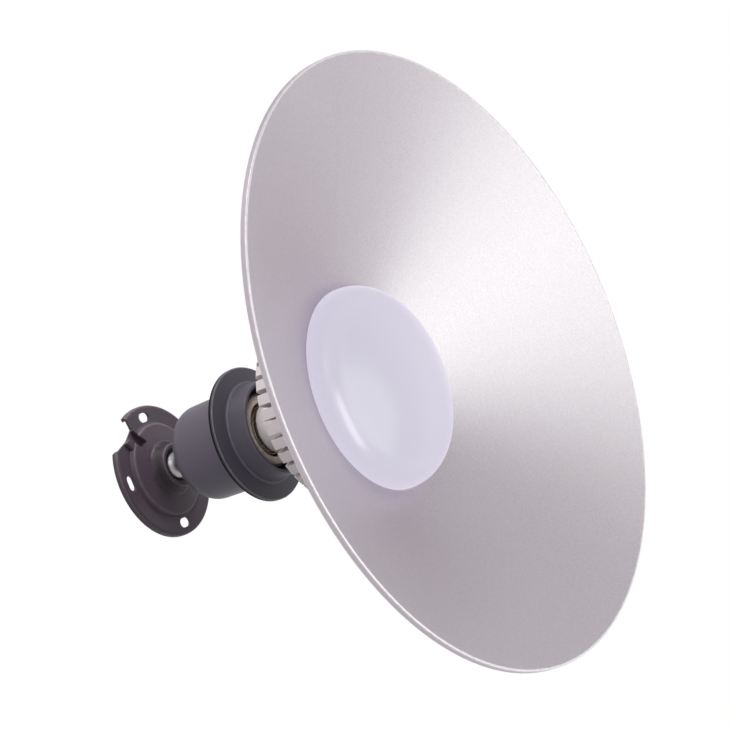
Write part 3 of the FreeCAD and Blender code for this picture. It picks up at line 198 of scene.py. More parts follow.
class LowBayColours(bpy.types.PropertyGroup):
    """Colours of the light's finishes."""
    reflector: colour_property("Reflector", "Satin aluminium sheet", (0.530, 0.479, 0.524))
    # Kept dark, as most of the dome's brightness comes from its painted glow
    diffuser: colour_property("Diffuser", "Frosted dome", (0.080, 0.075, 0.090))
    base: colour_property("Base", "Enamel of the ceiling base", (0.054, 0.041, 0.054))
    cup: colour_property("Cup", "Enamel of the holder's cup", (0.088, 0.075, 0.100))
    ring: colour_property("Ring", "Moulded front ring", (0.060, 0.054, 0.072))
    seal: colour_property("Seal", "Rubber between cup and ring", (0.004, 0.004, 0.005))
    porcelain: colour_property("Porcelain", "Glazed socket", (0.560, 0.510, 0.475))
    neck: colour_property("Neck", "Moulded neck of the lamp", (0.700, 0.645, 0.638))
    sink: colour_property("Heat sink", "Coated casting", (0.545, 0.492, 0.500))
    # Kept darker than bare plating: painted shade for the ball sunk in the boss
    plating: colour_property("Plating", "Bright plating of the ball", (0.330, 0.324, 0.336))
    steel: colour_property("Steel", "Zinc plated steel", (0.540, 0.540, 0.550))
    brass: colour_property("Brass", "Bare brass", (0.300, 0.190, 0.115))
    nickel: colour_property("Nickel", "Plated screw cap", (0.640, 0.620, 0.580))


class LowBayDetails(bpy.types.PropertyGroup):
    """Sizes of the finishes' fine detail."""
    speckle: length_property("Speckle", "Grain of the satin aluminium", 0.0009)
    peel: length_property("Peel", "Orange peel of the enamel", 0.0012)
    spark: length_property("Spark", "Grain of the moulded plastics", 0.0005)
    coat: length_property("Coat", "Grain of the powder coat", 0.0007)


class LowBayStudio(bpy.types.PropertyGroup):
    """Floor and lights."""
    floor_drop: length_property("Floor drop", "Floor below the ceiling face", 2.3)
    floor_size: length_property("Floor size", "Width of the floor", 4.0)
    ambient: FloatProperty(name="Ambient", description="Level of the even light", min=0.0, default=0.84)
    slant: share_property("Slant", "How much more even light comes from the picture's top", 0.85)
    shade: share_property("Shade", "How much darker mirrors see the far side", 0.22)
    mouth_power: power_property("Mouth light", "Light below the reflector", 14.3)
    key_power: power_property("Key light", "Soft light beside the camera", 6.0)
    strip_power: power_property("Strip light", "Long light for the dome's glint", 15.0)
    base_power: power_property("Base light", "Light over the ceiling base", 2.1)
    top_power: power_property("Top light", "Light over the holder", 7.5)


class Tree:
    """Adds nodes to one node tree and links them. A mix node repeats socket names, so they go by number."""

    def __init__(self, tree):
        self.tree = tree

    def add(self, kind, inputs=None, **settings):
        node = self.tree.nodes.new(kind)
        for name, setting in settings.items():
            setattr(node, name, setting)
        for name, value in (inputs or {}).items():
            self.feed(node.inputs[name], value)
        return node

    def feed(self, socket, value):
        if isinstance(value, bpy.types.NodeSocket):
            self.tree.links.new(value, socket)
        else:
            socket.default_value = value

    def math(self, operation, first, second=0.0, clamp=False):
        node = self.add("ShaderNodeMath", {0: first, 1: second}, operation=operation, use_clamp=clamp)
        return node.outputs[0]

    def mix_values(self, factor, first, second):
        return self.add("ShaderNodeMix", {0: factor, 2: first, 3: second}).outputs[0]

    def mix_colours(self, factor, first, second, blend="MIX"):
        node = self.add("ShaderNodeMix", data_type="RGBA", blend_type=blend)
        for index, value in ((0, factor), (6, first), (7, second)):
            self.feed(node.inputs[index], value)
        return node.outputs[2]

    def between(self, value, span, levels=(0.0, 1.0)):
        """Carries a value from one span over to another."""
        inputs = {0: value, 1: span[0], 2: span[1], 3: levels[0], 4: levels[1]}
        return self.add("ShaderNodeMapRange", inputs).outputs[0]

    def noise(self, **inputs):
        return self.add("ShaderNodeTexNoise", inputs).outputs[0]

    def length(self, first, second):
        """Length of the line across two lengths at right angles."""
        return self.math("SQRT", self.math("ADD", self.math("MULTIPLY", first, first),
                                           self.math("MULTIPLY", second, second)))

    def sway(self, noise, amount):
        """A factor that sways about 1 with a noise."""
        return self.math("ADD", self.math("MULTIPLY", self.math("SUBTRACT", noise, 0.5), amount), 1.0)


def shared_group(name, inputs, outputs, build):
    """A shader node group with named float sockets, built once."""
    if name in bpy.data.node_groups:
        return bpy.data.node_groups[name]
    group = bpy.data.node_groups.new(name, "ShaderNodeTree")
    for label, value in inputs.items():
        socket = group.interface.new_socket(name=label, in_out="INPUT", socket_type="NodeSocketFloat")
        socket.default_value = value
    for label in outputs:
        group.interface.new_socket(name=label, in_out="OUTPUT", socket_type="NodeSocketFloat")
    tree = Tree(group)
    entry = tree.add("NodeGroupInput")
    made = build(tree, entry.outputs)
    leave = tree.add("NodeGroupOutput")
    for label, socket in made.items():
        tree.feed(leave.inputs[label], socket)
    return group


def place_of(tree):
    """Object coordinates of the shaded point."""
    return tree.add("ShaderNodeTexCoord").outputs["Object"]


def radius_and_height(tree, place):
    """Distance of a point from the lamp's axis, and its height."""
    parts = tree.add("ShaderNodeSeparateXYZ", {0: place}).outputs
    return tree.length(parts[0], parts[1]), parts[2]


def fine_grain():
    """Close grain of a sprayed, blasted or moulded skin."""
    def build(tree, given):
        scale = tree.math("DIVIDE", 1.0, given["Size"])
        noise = tree.noise(Vector=place_of(tree), Scale=scale, Detail=2.0, Roughness=0.6)
        return {"Height": noise, "Shade": tree.sway(noise, given["Contrast"])}
    return shared_group("fine_grain", {"Size": 0.001, "Contrast": 0.1}, ("Height", "Shade"), build)


def soft_mottle():
    """Slow uneven patches of a handled or fired surface."""
    def build(tree, given):
        scale = tree.math("DIVIDE", 1.0, given["Size"])
        noise = tree.noise(Vector=place_of(tree), Scale=scale, Detail=4.0, Roughness=0.55)
        return {"Shade": tree.sway(noise, given["Amount"]), "Mask": tree.between(noise, STAIN_SPAN)}
    return shared_group("soft_mottle", {"Size": 0.03, "Amount": 0.1}, ("Shade", "Mask"), build)


def edge_wear_and_painted_light():
    """Band round a turned edge, with a broken outline, in another colour: some bands are wear, most are painted
    highlight and painted shade.
    """
    def build(tree, given):
        place = place_of(tree)
        radius, height = radius_and_height(tree, place)
        across = tree.math("SUBTRACT", radius, given["Radius"])
        upward = tree.math("SUBTRACT", height, given["Height"])
        noise = tree.noise(Vector=place, Scale=EDGE_NOISE_SCALE, Detail=3.0)
        reach = tree.math("MULTIPLY", given["Width"], tree.between(noise, EDGE_NOISE_SPAN, EDGE_WIDTH_SPAN))
        share = tree.math("DIVIDE", tree.length(across, upward), reach)
        return {"Mask": tree.between(share, EDGE_FADE_SPAN, (1.0, 0.0))}
    return shared_group("edge_wear_and_painted_light", {"Radius": 0.03, "Height": 0.0, "Width": 0.001}, ("Mask",), build)


def lathe_lines():
    """Concentric marks left by turning or spinning."""
    def build(tree, given):
        radius, height = radius_and_height(tree, place_of(tree))
        run = tree.math("DIVIDE", tree.math("ADD", radius, height), given["Spacing"])
        line = tree.add("ShaderNodeTexNoise", {"W": run, "Scale": 1.0, "Detail": 3.0, "Roughness": 0.7},
                        noise_dimensions="1D").outputs[0]
        return {"Height": line, "Shade": tree.sway(line, given["Amount"])}
    return shared_group("lathe_lines", {"Spacing": 0.0005, "Amount": 0.1}, ("Height", "Shade"), build)


def foot_glow():
    """Stronger painted glow towards the foot of a dome, where the wall is seen edge on."""
    def build(tree, given):
        height = radius_and_height(tree, place_of(tree))[1]
        return {"Shade": tree.between(height, (given["Crown"], given["Foot"]), (1.0, given["Gain"]))}
    return shared_group("foot_glow", {"Crown": -0.1, "Foot": 0.0, "Gain": 1.0}, ("Shade",), build)


def settled_dust():
    """Thin dust on what faces the ceiling."""
    def build(tree, given):
        normal = tree.add("ShaderNodeNewGeometry").outputs["Normal"]
        upward = tree.add("ShaderNodeSeparateXYZ", {0: normal}).outputs[2]
        noise = tree.noise(Vector=place_of(tree), Scale=DUST_NOISE_SCALE, Detail=5.0)
        share = tree.math("MULTIPLY", tree.between(upward, DUST_SLOPE_SPAN), tree.between(noise, DUST_NOISE_SPAN))
        return {"Mask": tree.math("MULTIPLY", share, given["Amount"])}
    return shared_group("settled_dust", {"Amount": 0.1}, ("Mask",), build)


def rgba(colour):
    """A colour with full cover."""
    return (*colour, 1.0)


class Finish:
    """One procedural material, built up layer by layer round a single shader."""

    def __init__(self, name, colour, roughness, metallic=0.0, sockets=None):
        self.material = bpy.data.materials.new(name)
        self.material.use_nodes = True
        self.tree = Tree(self.material.node_tree)
        self.shader = self.material.node_tree.nodes["Principled BSDF"]
        self.colour = rgba(colour)
        self.rough = roughness
        self.bumps = []
        self.shader.inputs["Metallic"].default_value = metallic
        for label, value in (sockets or {}).items():
            self.shader.inputs[label].default_value = value

    def place(self, group, **values):
        node = self.tree.add("ShaderNodeGroup", node_tree=group)
        for label, value in values.items():
            node.inputs[label].default_value = value
        return node.outputs

    def shade(self, factor):
        self.colour = self.tree.mix_colours(1.0, self.colour, factor, "MULTIPLY")

    def tint(self, mask, colour):
        self.colour = self.tree.mix_colours(mask, self.colour, rgba(colour))

    def roughen(self, factor):
        self.rough = self.tree.math("MULTIPLY", factor, self.rough, clamp=True)

    def bump(self, height, depth, strength=1.0):
        self.bumps.append((height, depth, strength))

    def grain(self, size, contrast, depth, strength):
        made = self.place(fine_grain(), Size=size, Contrast=contrast)
        self.shade(made["Shade"])
        self.bump(made["Height"], depth, strength)

    def mottle(self, size, amount):
        made = self.place(soft_mottle(), Size=size, Amount=amount)
        self.shade(made["Shade"])
        self.roughen(made["Shade"])
        return made

    def edges(self, name):
        colour, *bands = EDGES[name]
        for radius, depth, width in bands:
            made = self.place(edge_wear_and_painted_light(), Radius=radius * MM, Height=-depth * MM, Width=width * MM)
            self.tint(made["Mask"], colour)

    def dust(self, amount):
        self.tint(self.place(settled_dust(), Amount=amount)["Mask"], DUST)

    def turned(self, spacing, amount, depth):
        made = self.place(lathe_lines(), Spacing=spacing, Amount=amount)
        self.shade(made["Shade"])
        self.bump(made["Height"], depth)

    def done(self):
        self.tree.feed(self.shader.inputs["Base Color"], self.colour)
        self.tree.feed(self.shader.inputs["Roughness"], self.rough)
        normal = None
        for height, depth, strength in self.bumps:
            inputs = {"Height": height, "Distance": depth, "Strength": strength}
            if normal is not None:
                inputs["Normal"] = normal
            normal = self.tree.add("ShaderNodeBump", inputs).outputs[0]
        if normal is not None:
            self.tree.feed(self.shader.inputs["Normal"], normal)
        return self.material


def dress(material, *names):
    """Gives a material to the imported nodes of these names."""
    for name in names:
        for slot in NODES[name].material_slots:
            slot.material = material


def new_object(name, data):
    """A new object in the scene."""
    made = bpy.data.objects.new(name, data)
    bpy.context.scene.collection.objects.link(made)
    return made


class LOWBAY_OT_reflector(bpy.types.Operator):
    """Satin spun aluminium with a fine speckle, painted shade on the hem behind its lip and a painted highlight
    along the lip
    """
    bl_idname = "low_bay.reflector"
    bl_label = "Reflector"

    def execute(self, context):
        colours, details = context.scene.low_bay_colours, context.scene.low_bay_details
        finish = Finish("satin_aluminium", colours.reflector, roughness=0.46, metallic=1.0)
        finish.grain(details.speckle, contrast=0.42, depth=0.00004, strength=0.45)
        finish.mottle(size=0.08, amount=0.05)
        # The hem gets a band of painted shade and a painted highlight line
        finish.edges("hem_back_painted_shade")
        finish.edges("hem_lip_painted_highlight")
        dress(finish.done(), "reflector")
        return {"FINISHED"}


class LOWBAY_OT_diffuser(bpy.types.Operator):
    """Frosted milky dome over the light board, with a painted glow of its own"""
    bl_idname = "low_bay.diffuser"
    bl_label = "Diffuser"

    def execute(self, context):
        colours = context.scene.low_bay_colours
        finish = Finish("frosted_dome", colours.diffuser, roughness=0.30,
                        sockets={"Subsurface Weight": 0.2, "Subsurface Radius": DOME_SCATTER,
                                 "Coat Weight": 0.22, "Coat Roughness": 0.18,
                                 "Emission Strength": DOME_GLOW_STRENGTH})
        growth = finish.place(foot_glow(), Crown=DOME_GLOW_FROM, Foot=DOME_GLOW_TO, Gain=DOME_GLOW_GAIN)["Shade"]
        glow = finish.tree.mix_colours(1.0, rgba(DOME_GLOW), growth, "MULTIPLY")
        finish.tree.feed(finish.shader.inputs["Emission Color"], glow)
        finish.grain(size=0.0006, contrast=0.03, depth=0.00001, strength=0.4)
        finish.mottle(size=0.05, amount=0.03)
        dress(finish.done(), "diffuser")
        return {"FINISHED"}


class LOWBAY_OT_ceiling_base(bpy.types.Operator):
    """Dark enamel on the cast ceiling base, with painted shade round the foot of the boss and lighter turned
    edges, partly wear and partly painted highlight
    """
    bl_idname = "low_bay.ceiling_base"
    bl_label = "Ceiling Base"

    def execute(self, context):
        colours, details = context.scene.low_bay_colours, context.scene.low_bay_details
        finish = Finish("base_enamel", colours.base, roughness=0.42, sockets={"Specular IOR Level": 0.2})
        finish.grain(details.peel, contrast=0.10, depth=0.00004, strength=0.30)
        finish.mottle(size=0.02, amount=0.22)
        # Painted shade round the boss foot
        finish.edges("boss_foot_painted_shade")
        # Lighter edges: partly wear, partly painted highlight
        finish.edges("base_edges_wear_and_painted_highlight")
        finish.dust(amount=0.05)
        dress(finish.done(), "ceiling_base")
        return {"FINISHED"}


class LOWBAY_OT_ball_swivel(bpy.types.Operator):
    """Plated ball and stem in their nylon seat"""
    bl_idname = "low_bay.ball_swivel"
    bl_label = "Ball Swivel"

    def execute(self, context):
        colours = context.scene.low_bay_colours
        # The plating's dark colour is painted shade for the ball deep in the boss
        plating = Finish("plating_darkened_as_painted_shade", colours.plating, roughness=0.34, metallic=1.0)
        plating.turned(spacing=0.0006, amount=0.06, depth=0.000004)
        plating.mottle(size=0.01, amount=0.25)
        dress(plating.done(), "ball_stud")
        nylon = Finish("natural_nylon", NYLON, roughness=0.45)
        nylon.grain(size=0.0005, contrast=0.06, depth=0.00001, strength=0.4)
        dress(nylon.done(), "ball_seat")
        return {"FINISHED"}


def loose_parts(name):
    """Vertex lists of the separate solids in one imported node."""
    shape = bmesh.new()
    shape.from_mesh(NODES[name].data)
    bmesh.ops.remove_doubles(shape, verts=shape.verts, dist=WELD_GAP)
    waiting = set(shape.verts)
    parts = []
    for first in shape.verts:
        if first not in waiting:
            continue
        waiting.discard(first)
        found = [first]
        for vert in found:
            for edge in vert.link_edges:
                other = edge.other_vert(vert)
                if other in waiting:
                    waiting.discard(other)
                    found.append(other)
        parts.append([vert.co.copy() for vert in found])
    shape.free()
    return parts


class Screw:
    """Place and main sizes of one plain screw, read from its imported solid."""

    def __init__(self, points):
        xs, ys, zs = zip(*points)
        self.centre = Vector(((min(xs) + max(xs)) / 2, (min(ys) + max(ys)) / 2, 0))
        reach = [((point.xy - self.centre.xy).length, point.z) for point in points]
        self.head_radius = max(reach)[0]
        head = [height for radius, height in reach if radius > self.head_radius - WELD_GAP]
        shank = [radius for radius, height in reach if radius < SHANK_SHARE * self.head_radius]
        self.shank_radius = max(shank)
        self.up = 1 if max(head) > max(zs) - WELD_GAP else -1
        self.seat = min(head) if self.up > 0 else max(head)
        self.head_height = max(head) - min(head)
        self.length = max(zs) - min(zs) - self.head_height

    def matrix(self):
        """Carries a screw seated at height 0, head up, to this one's place."""
        turn = Matrix.Identity(4) if self.up > 0 else Matrix.Rotation(math.pi, 4, "X")
        return Matrix.Translation(self.centre + Vector((0, 0, self.seat))) @ turn


def close_skin(shape, rows):
    """Faces between neighbouring rows of vertices, with a cap at each end."""
    count = len(rows[0])
    for lower, upper in zip(rows, rows[1:]):
        for step in range(count):
            following = (step + 1) % count
            shape.faces.new((lower[step], lower[following], upper[following], upper[step]))
    shape.faces.new(reversed(rows[0]))
    shape.faces.new(rows[-1])


def lathe(shape, rings):
    """Closed skin through rings, each a function from an angle to the radius and height there."""
    rows = []
    for ring in rings:
        row = []
        for step in range(SCREW_SEGMENTS):
            angle = 2 * math.pi * step / SCREW_SEGMENTS
            radius, height = ring(angle)
            row.append(shape.verts.new((radius * math.cos(angle), radius * math.sin(angle), height)))
        rows.append(row)
    close_skin(shape, rows)


def plain_ring(radius, height):
    """Ring of an even skin."""
    return lambda angle: (radius, height)


def thread_ring(root, crest, height):
    """Ring of a threaded skin: its radius climbs and falls once a turn."""
    def ring(angle):
        share = (height / THREAD_PITCH + angle / (2 * math.pi)) % 1.0
        return root + (crest - root) * abs(2 * share - 1), height
    return ring


def screw_rings(screw):
    """Rings of a pan head screw from the tip of its thread to the top of its head, seated at height 0."""
    core = screw.shank_radius - THREAD_DEPTH
    rings = [plain_ring(core - THREAD_DEPTH, -screw.length)]
    step = THREAD_PITCH / THREAD_STEPS
    count = int((screw.length - PLAIN_RUN) / step)
    for index in range(1, count):
        rings.append(thread_ring(core, screw.shank_radius, index * step - screw.length))
    rings += [plain_ring(core, -PLAIN_RUN / 2), plain_ring(core, 0.0), plain_ring(screw.head_radius, 0.0)]
    wall = HEAD_WALL_SHARE * screw.head_height
    crown = screw.head_height - wall
    for index in range(HEAD_ARC_STEPS + 1):
        turn = math.pi / 2 * index / HEAD_ARC_STEPS
        inset = crown * (1 - math.cos(turn))
        rings.append(plain_ring(screw.head_radius - inset, wall + crown * math.sin(turn)))
    return rings


def cross_prism(shape, top):
    """Tapered cross that cuts the driver recess, from just over the head down."""
    rows = []
    for scale, height in ((CROSS_TAPER, top - CROSS_DEPTH), (1.0, top + CROSS_WIDTH)):
        arm, half = CROSS_ARM * scale, CROSS_WIDTH * scale
        corners = []
        for quarter in range(4):
            turn = Matrix.Rotation(math.pi / 2 * quarter, 2)
            corners += [turn @ Vector(corner) for corner in ((arm, -half), (arm, half), (half, half))]
        rows.append([shape.verts.new((corner.x, corner.y, height)) for corner in corners])
    close_skin(shape, rows)


def solid_object(name, fill):
    """An object whose mesh is filled in by a function."""
    mesh = bpy.data.meshes.new(name)
    shape = bmesh.new()
    fill(shape)
    bmesh.ops.recalc_face_normals(shape, faces=shape.faces)
    shape.to_mesh(mesh)
    shape.free()
    return new_object(name, mesh)


def recessed_screw(screw):
    """Mesh of one screw with its cross recess cut."""
    blank = solid_object("screw_blank", lambda shape: lathe(shape, screw_rings(screw)))
    cutter = solid_object("screw_cutter", lambda shape: cross_prism(shape, screw.head_height))
    cut = blank.modifiers.new("recess", "BOOLEAN")
    cut.operation = "DIFFERENCE"
    cut.solver = "EXACT"
    cut.object = cutter
    seen = blank.evaluated_get(bpy.context.evaluated_depsgraph_get())
    mesh = bpy.data.meshes.new_from_object(seen)
    for spare in (blank, cutter):
        bpy.data.objects.remove(spare)
    return mesh


def threaded_screws(node, material):
    """Stands threaded screws in the place of one node's plain ones."""
    screws = [Screw(points) for points in loose_parts(node)]
    pattern = recessed_screw(screws[0])
    shape = bmesh.new()
    for screw in screws:
        copy = pattern.copy()
        copy.transform(screw.matrix())
        shape.from_mesh(copy)
        bpy.data.meshes.remove(copy)
    mesh = bpy.data.meshes.new(node + "_threaded")
    shape.to_mesh(mesh)
    shape.free()
    mesh.shade_smooth()
    mesh.set_sharp_from_angle(angle=SHARP_ANGLE)
    mesh.materials.append(material)
    made = new_object(node + "_threaded", mesh)
    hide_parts(node)
    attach(made, SCREW_BODIES[node])


class LOWBAY_OT_fasteners(bpy.types.Operator):
    """Zinc plated pan head screws with their threads and cross recesses, and the clamp, washer and nut"""
    bl_idname = "low_bay.fasteners"
    bl_label = "Fasteners"

    def execute(self, context):
        zinc = Finish("zinc_plate", context.scene.low_bay_colours.steel, roughness=0.34, metallic=1.0)
        zinc.grain(size=0.0004, contrast=0.12, depth=0.00001, strength=0.3)
        zinc.mottle(size=0.006, amount=0.22)
        material = zinc.done()
        dress(material, "clamp_plate", "lock_washer", "lock_nut")
        for node in SCREW_BODIES:
            threaded_screws(node, material)
        return {"FINISHED"}


class LOWBAY_OT_lampholder(bpy.types.Operator):
    """Grey enamelled cup, black seal and moulded front ring"""
    bl_idname = "low_bay.lampholder"
    bl_label = "Lampholder"

    def execute(self, context):
        colours, details = context.scene.low_bay_colours, context.scene.low_bay_details
        cup = Finish("cup_enamel", colours.cup, roughness=0.42, sockets={"Specular IOR Level": 0.25})
        cup.grain(details.peel, contrast=0.08, depth=0.00004, strength=0.30)
        cup.mottle(size=0.03, amount=0.14)
        # Painted highlight along the brim
        cup.edges("brim_edge_painted_highlight")
        cup.dust(amount=0.04)
        dress(cup.done(), "holder_cup")
        ring = Finish("ring_moulding", colours.ring, roughness=0.46, sockets={"Specular IOR Level": 0.3})
        ring.grain(details.spark, contrast=0.12, depth=0.00003, strength=0.35)
        ring.mottle(size=0.03, amount=0.14)
        # Painted shade on the ring's seat, painted highlights on its edge and on the collar's edges
        for name in ("ring_seat_painted_shade", "ring_edge_painted_highlight", "collar_edges_painted_highlight"):
            ring.edges(name)
        dress(ring.done(), "front_ring")
        seal = Finish("seal_rubber", colours.seal, roughness=0.62, sockets={"Specular IOR Level": 0.06})
        seal.grain(size=0.0004, contrast=0.25, depth=0.00003, strength=0.5)
        dress(seal.done(), "rim_gasket")
        return {"FINISHED"}


class LOWBAY_OT_socket(bpy.types.Operator):
    """Glazed porcelain socket with its brass shell, contacts and terminals"""
    bl_idname = "low_bay.socket"
    bl_label = "Socket"

    def execute(self, context):
        colours = context.scene.low_bay_colours
        porcelain = Finish("glazed_porcelain", colours.porcelain, roughness=0.28,
                           sockets={"Coat Weight": 0.5, "Coat Roughness": 0.12})
        patches = porcelain.mottle(size=0.008, amount=0.20)
        porcelain.tint(porcelain.tree.math("MULTIPLY", patches["Mask"], STAIN_SHARE), STAIN)
        porcelain.grain(size=0.0007, contrast=0.05, depth=0.00002, strength=0.3)
        # Painted shade on the rim deep inside the collar
        porcelain.edges("socket_rim_painted_shade")
        dress(porcelain.done(), "socket_body")
        brass = Finish("contact_brass", colours.brass, roughness=0.32, metallic=1.0)
        brass.turned(spacing=0.0005, amount=0.10, depth=0.000005)
        brass.mottle(size=0.006, amount=0.30)
        dress(brass.done(), "screw_shell", "centre_contact", "shell_terminal", "centre_terminal",
              "contact_rivets", "cap_contact")
        return {"FINISHED"}


class LOWBAY_OT_lamp_cap(bpy.types.Operator):
    """Nickel plated screw cap and its black insulator"""
    bl_idname = "low_bay.lamp_cap"
    bl_label = "Lamp Cap"

    def execute(self, context):
        nickel = Finish("cap_nickel", context.scene.low_bay_colours.nickel, roughness=0.27, metallic=1.0)
        nickel.turned(spacing=0.0005, amount=0.08, depth=0.000005)
        nickel.mottle(size=0.008, amount=0.22)
        dress(nickel.done(), "lamp_cap")
        glass = Finish("cap_glass", CAP_GLASS, roughness=0.16, sockets={"Coat Weight": 0.3})
        glass.mottle(size=0.004, amount=0.30)
        dress(glass.done(), "cap_insulator")
        return {"FINISHED"}


class LOWBAY_OT_heat_sink(bpy.types.Operator):
    """Coated finned casting and the moulded neck behind it"""
    bl_idname = "low_bay.heat_sink"
    bl_label = "Heat Sink"

    def execute(self, context):
        colours, details = context.scene.low_bay_colours, context.scene.low_bay_details
        sink = Finish("sink_coat", colours.sink, roughness=0.48)
        sink.grain(details.coat, contrast=0.10, depth=0.00004, strength=0.35)
        sink.mottle(size=0.02, amount=0.12)
        sink.edges("sink_shoulder")
        sink.dust(amount=0.05)
        dress(sink.done(), "heat_sink")
        neck = Finish("neck_moulding", colours.neck, roughness=0.44)
        neck.grain(details.spark, contrast=0.08, depth=0.00003, strength=0.35)
        neck.mottle(size=0.02, amount=0.10)
        dress(neck.done(), "neck_housing")
        return {"FINISHED"}


class LOWBAY_OT_driver(bpy.types.Operator):
    """Driver board inside the heat sink with its transformer, capacitor, choke and leads"""
    bl_idname = "low_bay.driver"
    bl_label = "Driver"

    def execute(self, context):
        board = Finish("solder_mask", SOLDER_MASK, roughness=0.34)
        board.grain(size=0.0012, contrast=0.25, depth=0.00002, strength=0.4)
        board.mottle(size=0.01, amount=0.15)
        dress(board.done(), "driver_board")
        core = Finish("ferrite_core", FERRITE, roughness=0.55)
        core.grain(size=0.0006, contrast=0.30, depth=0.00003, strength=0.5)
        dress(core.done(), "transformer")
        sleeve = Finish("can_sleeve", CAN_SLEEVE, roughness=0.30)
        sleeve.mottle(size=0.006, amount=0.20)
        sleeve.turned(spacing=0.0010, amount=0.06, depth=0.00001)
        dress(sleeve.done(), "capacitor")
        winding = Finish("copper_winding", COPPER, roughness=0.30, metallic=1.0)
        winding.turned(spacing=0.0006, amount=0.35, depth=0.00010)
        dress(winding.done(), "choke")
        lead = Finish("lead_sleeve", LEAD_SLEEVE, roughness=0.48)
        lead.grain(size=0.0006, contrast=0.10, depth=0.00002, strength=0.4)
        dress(lead.done(), "cap_leads", "led_leads")
        return {"FINISHED"}


class LOWBAY_OT_light_source(bpy.types.Operator):
    """White light board, its chips and the thermal pad behind it"""
    bl_idname = "low_bay.light_source"
    bl_label = "Light Source"

    def execute(self, context):
        pad = Finish("thermal_silicone", SILICONE, roughness=0.62)
        pad.grain(size=0.0006, contrast=0.15, depth=0.00003, strength=0.5)
        dress(pad.done(), "thermal_pad")
        board = Finish("white_mask", WHITE_MASK, roughness=0.32)
        board.grain(size=0.0012, contrast=0.05, depth=0.00002, strength=0.4)
        board.mottle(size=0.01, amount=0.06)
        dress(board.done(), "led_board")
        chip = Finish("chip_phosphor", PHOSPHOR, roughness=0.24, sockets={"Coat Weight": 0.3})
        chip.grain(size=0.0003, contrast=0.15, depth=0.00001, strength=0.4)
        dress(chip.done(), "led_chips")
        return {"FINISHED"}


def view_axes():
    """Right, up and back directions of the photograph's camera."""
    front = Vector((0, 0, -1))
    upper = Vector((1, 0, 0))
    nearer = Vector((0, -1, 0))
    tilt_sin, tilt_cos = math.sin(AXIS_TILT), math.cos(AXIS_TILT)
    roll_sin, roll_cos = math.sin(AXIS_ROLL), math.cos(AXIS_ROLL)
    right = -roll_sin * upper - tilt_cos * roll_cos * nearer + tilt_sin * roll_cos * front
    up = roll_cos * upper - tilt_cos * roll_sin * nearer + tilt_sin * roll_sin * front
    back = tilt_sin * nearer + tilt_cos * front
    return right, up, back


def by_camera(axes, place):
    """A move so far to the camera's right, up and back."""
    return sum((axis * reach for axis, reach in zip(axes, place)), Vector())


def area_light(name, shape, matrix, power, colour):
    """An area light that the camera doesn't see."""
    light = bpy.data.lights.new(name, "AREA")
    light.shape = shape
    light.energy = power
    light.color = colour
    holder = new_object(name, light)
    holder.matrix_world = matrix
    holder.visible_camera = False
    return holder


def disc_light(name, place, target, size, power, colour=WHITE):
    """A soft round light aimed at a point."""
    turn = (target - place).to_track_quat("-Z", "Y").to_matrix().to_4x4()
    holder = area_light(name, "DISK", Matrix.Translation(place) @ turn, power, colour)
    holder.data.size = size
    return holder


def strip_light(name, place, target, power):
    """A long soft light aimed at a point, that shows only as a glint."""
    back = (place - target).normalized()
    across = back.cross(STRIP_RUN).normalized()
    turn = Matrix((across.cross(back), across, back)).transposed().to_4x4()
    holder = area_light(name, "RECTANGLE", Matrix.Translation(place) @ turn, power, WHITE)
    holder.data.size = STRIP_LENGTH
    holder.data.size_y = STRIP_WIDTH
    holder.visible_diffuse = False
    return holder


def keep_for(holder, receiver):
    """Lets a light reach one piece alone."""
    receivers = bpy.data.collections.new(holder.name + "_receivers")
    receivers.objects.link(receiver)
    holder.light_linking.receiver_collection = receivers


def level_along(tree, direction, axis, span, levels):
    """A level that changes with how far a ray points along an axis."""
    product = tree.add("ShaderNodeVectorMath", {0: direction, 1: axis}, operation="DOT_PRODUCT")
    return tree.between(product.outputs["Value"], span, levels)


def surrounding_level(tree, studio, up):
    """White for the camera, nearly white for mirrors, and the slanted even light for the rest."""
    direction = tree.add("ShaderNodeTexCoord").outputs["Generated"]
    path = tree.add("ShaderNodeLightPath").outputs
    even = level_along(tree, direction, up, (-1.0, 1.0), (studio.ambient * (1 - studio.slant),
                                                          studio.ambient * (1 + studio.slant)))
    mirror = level_along(tree, direction, FAR_SIDE, FAR_SIDE_SPAN, (1.0, 1.0 - studio.shade))
    level = tree.mix_values(path["Is Glossy Ray"], even, mirror)
    seen = tree.math("MAXIMUM", path["Is Camera Ray"], path["Is Transmission Ray"])
    return tree.mix_values(seen, level, 1.0)


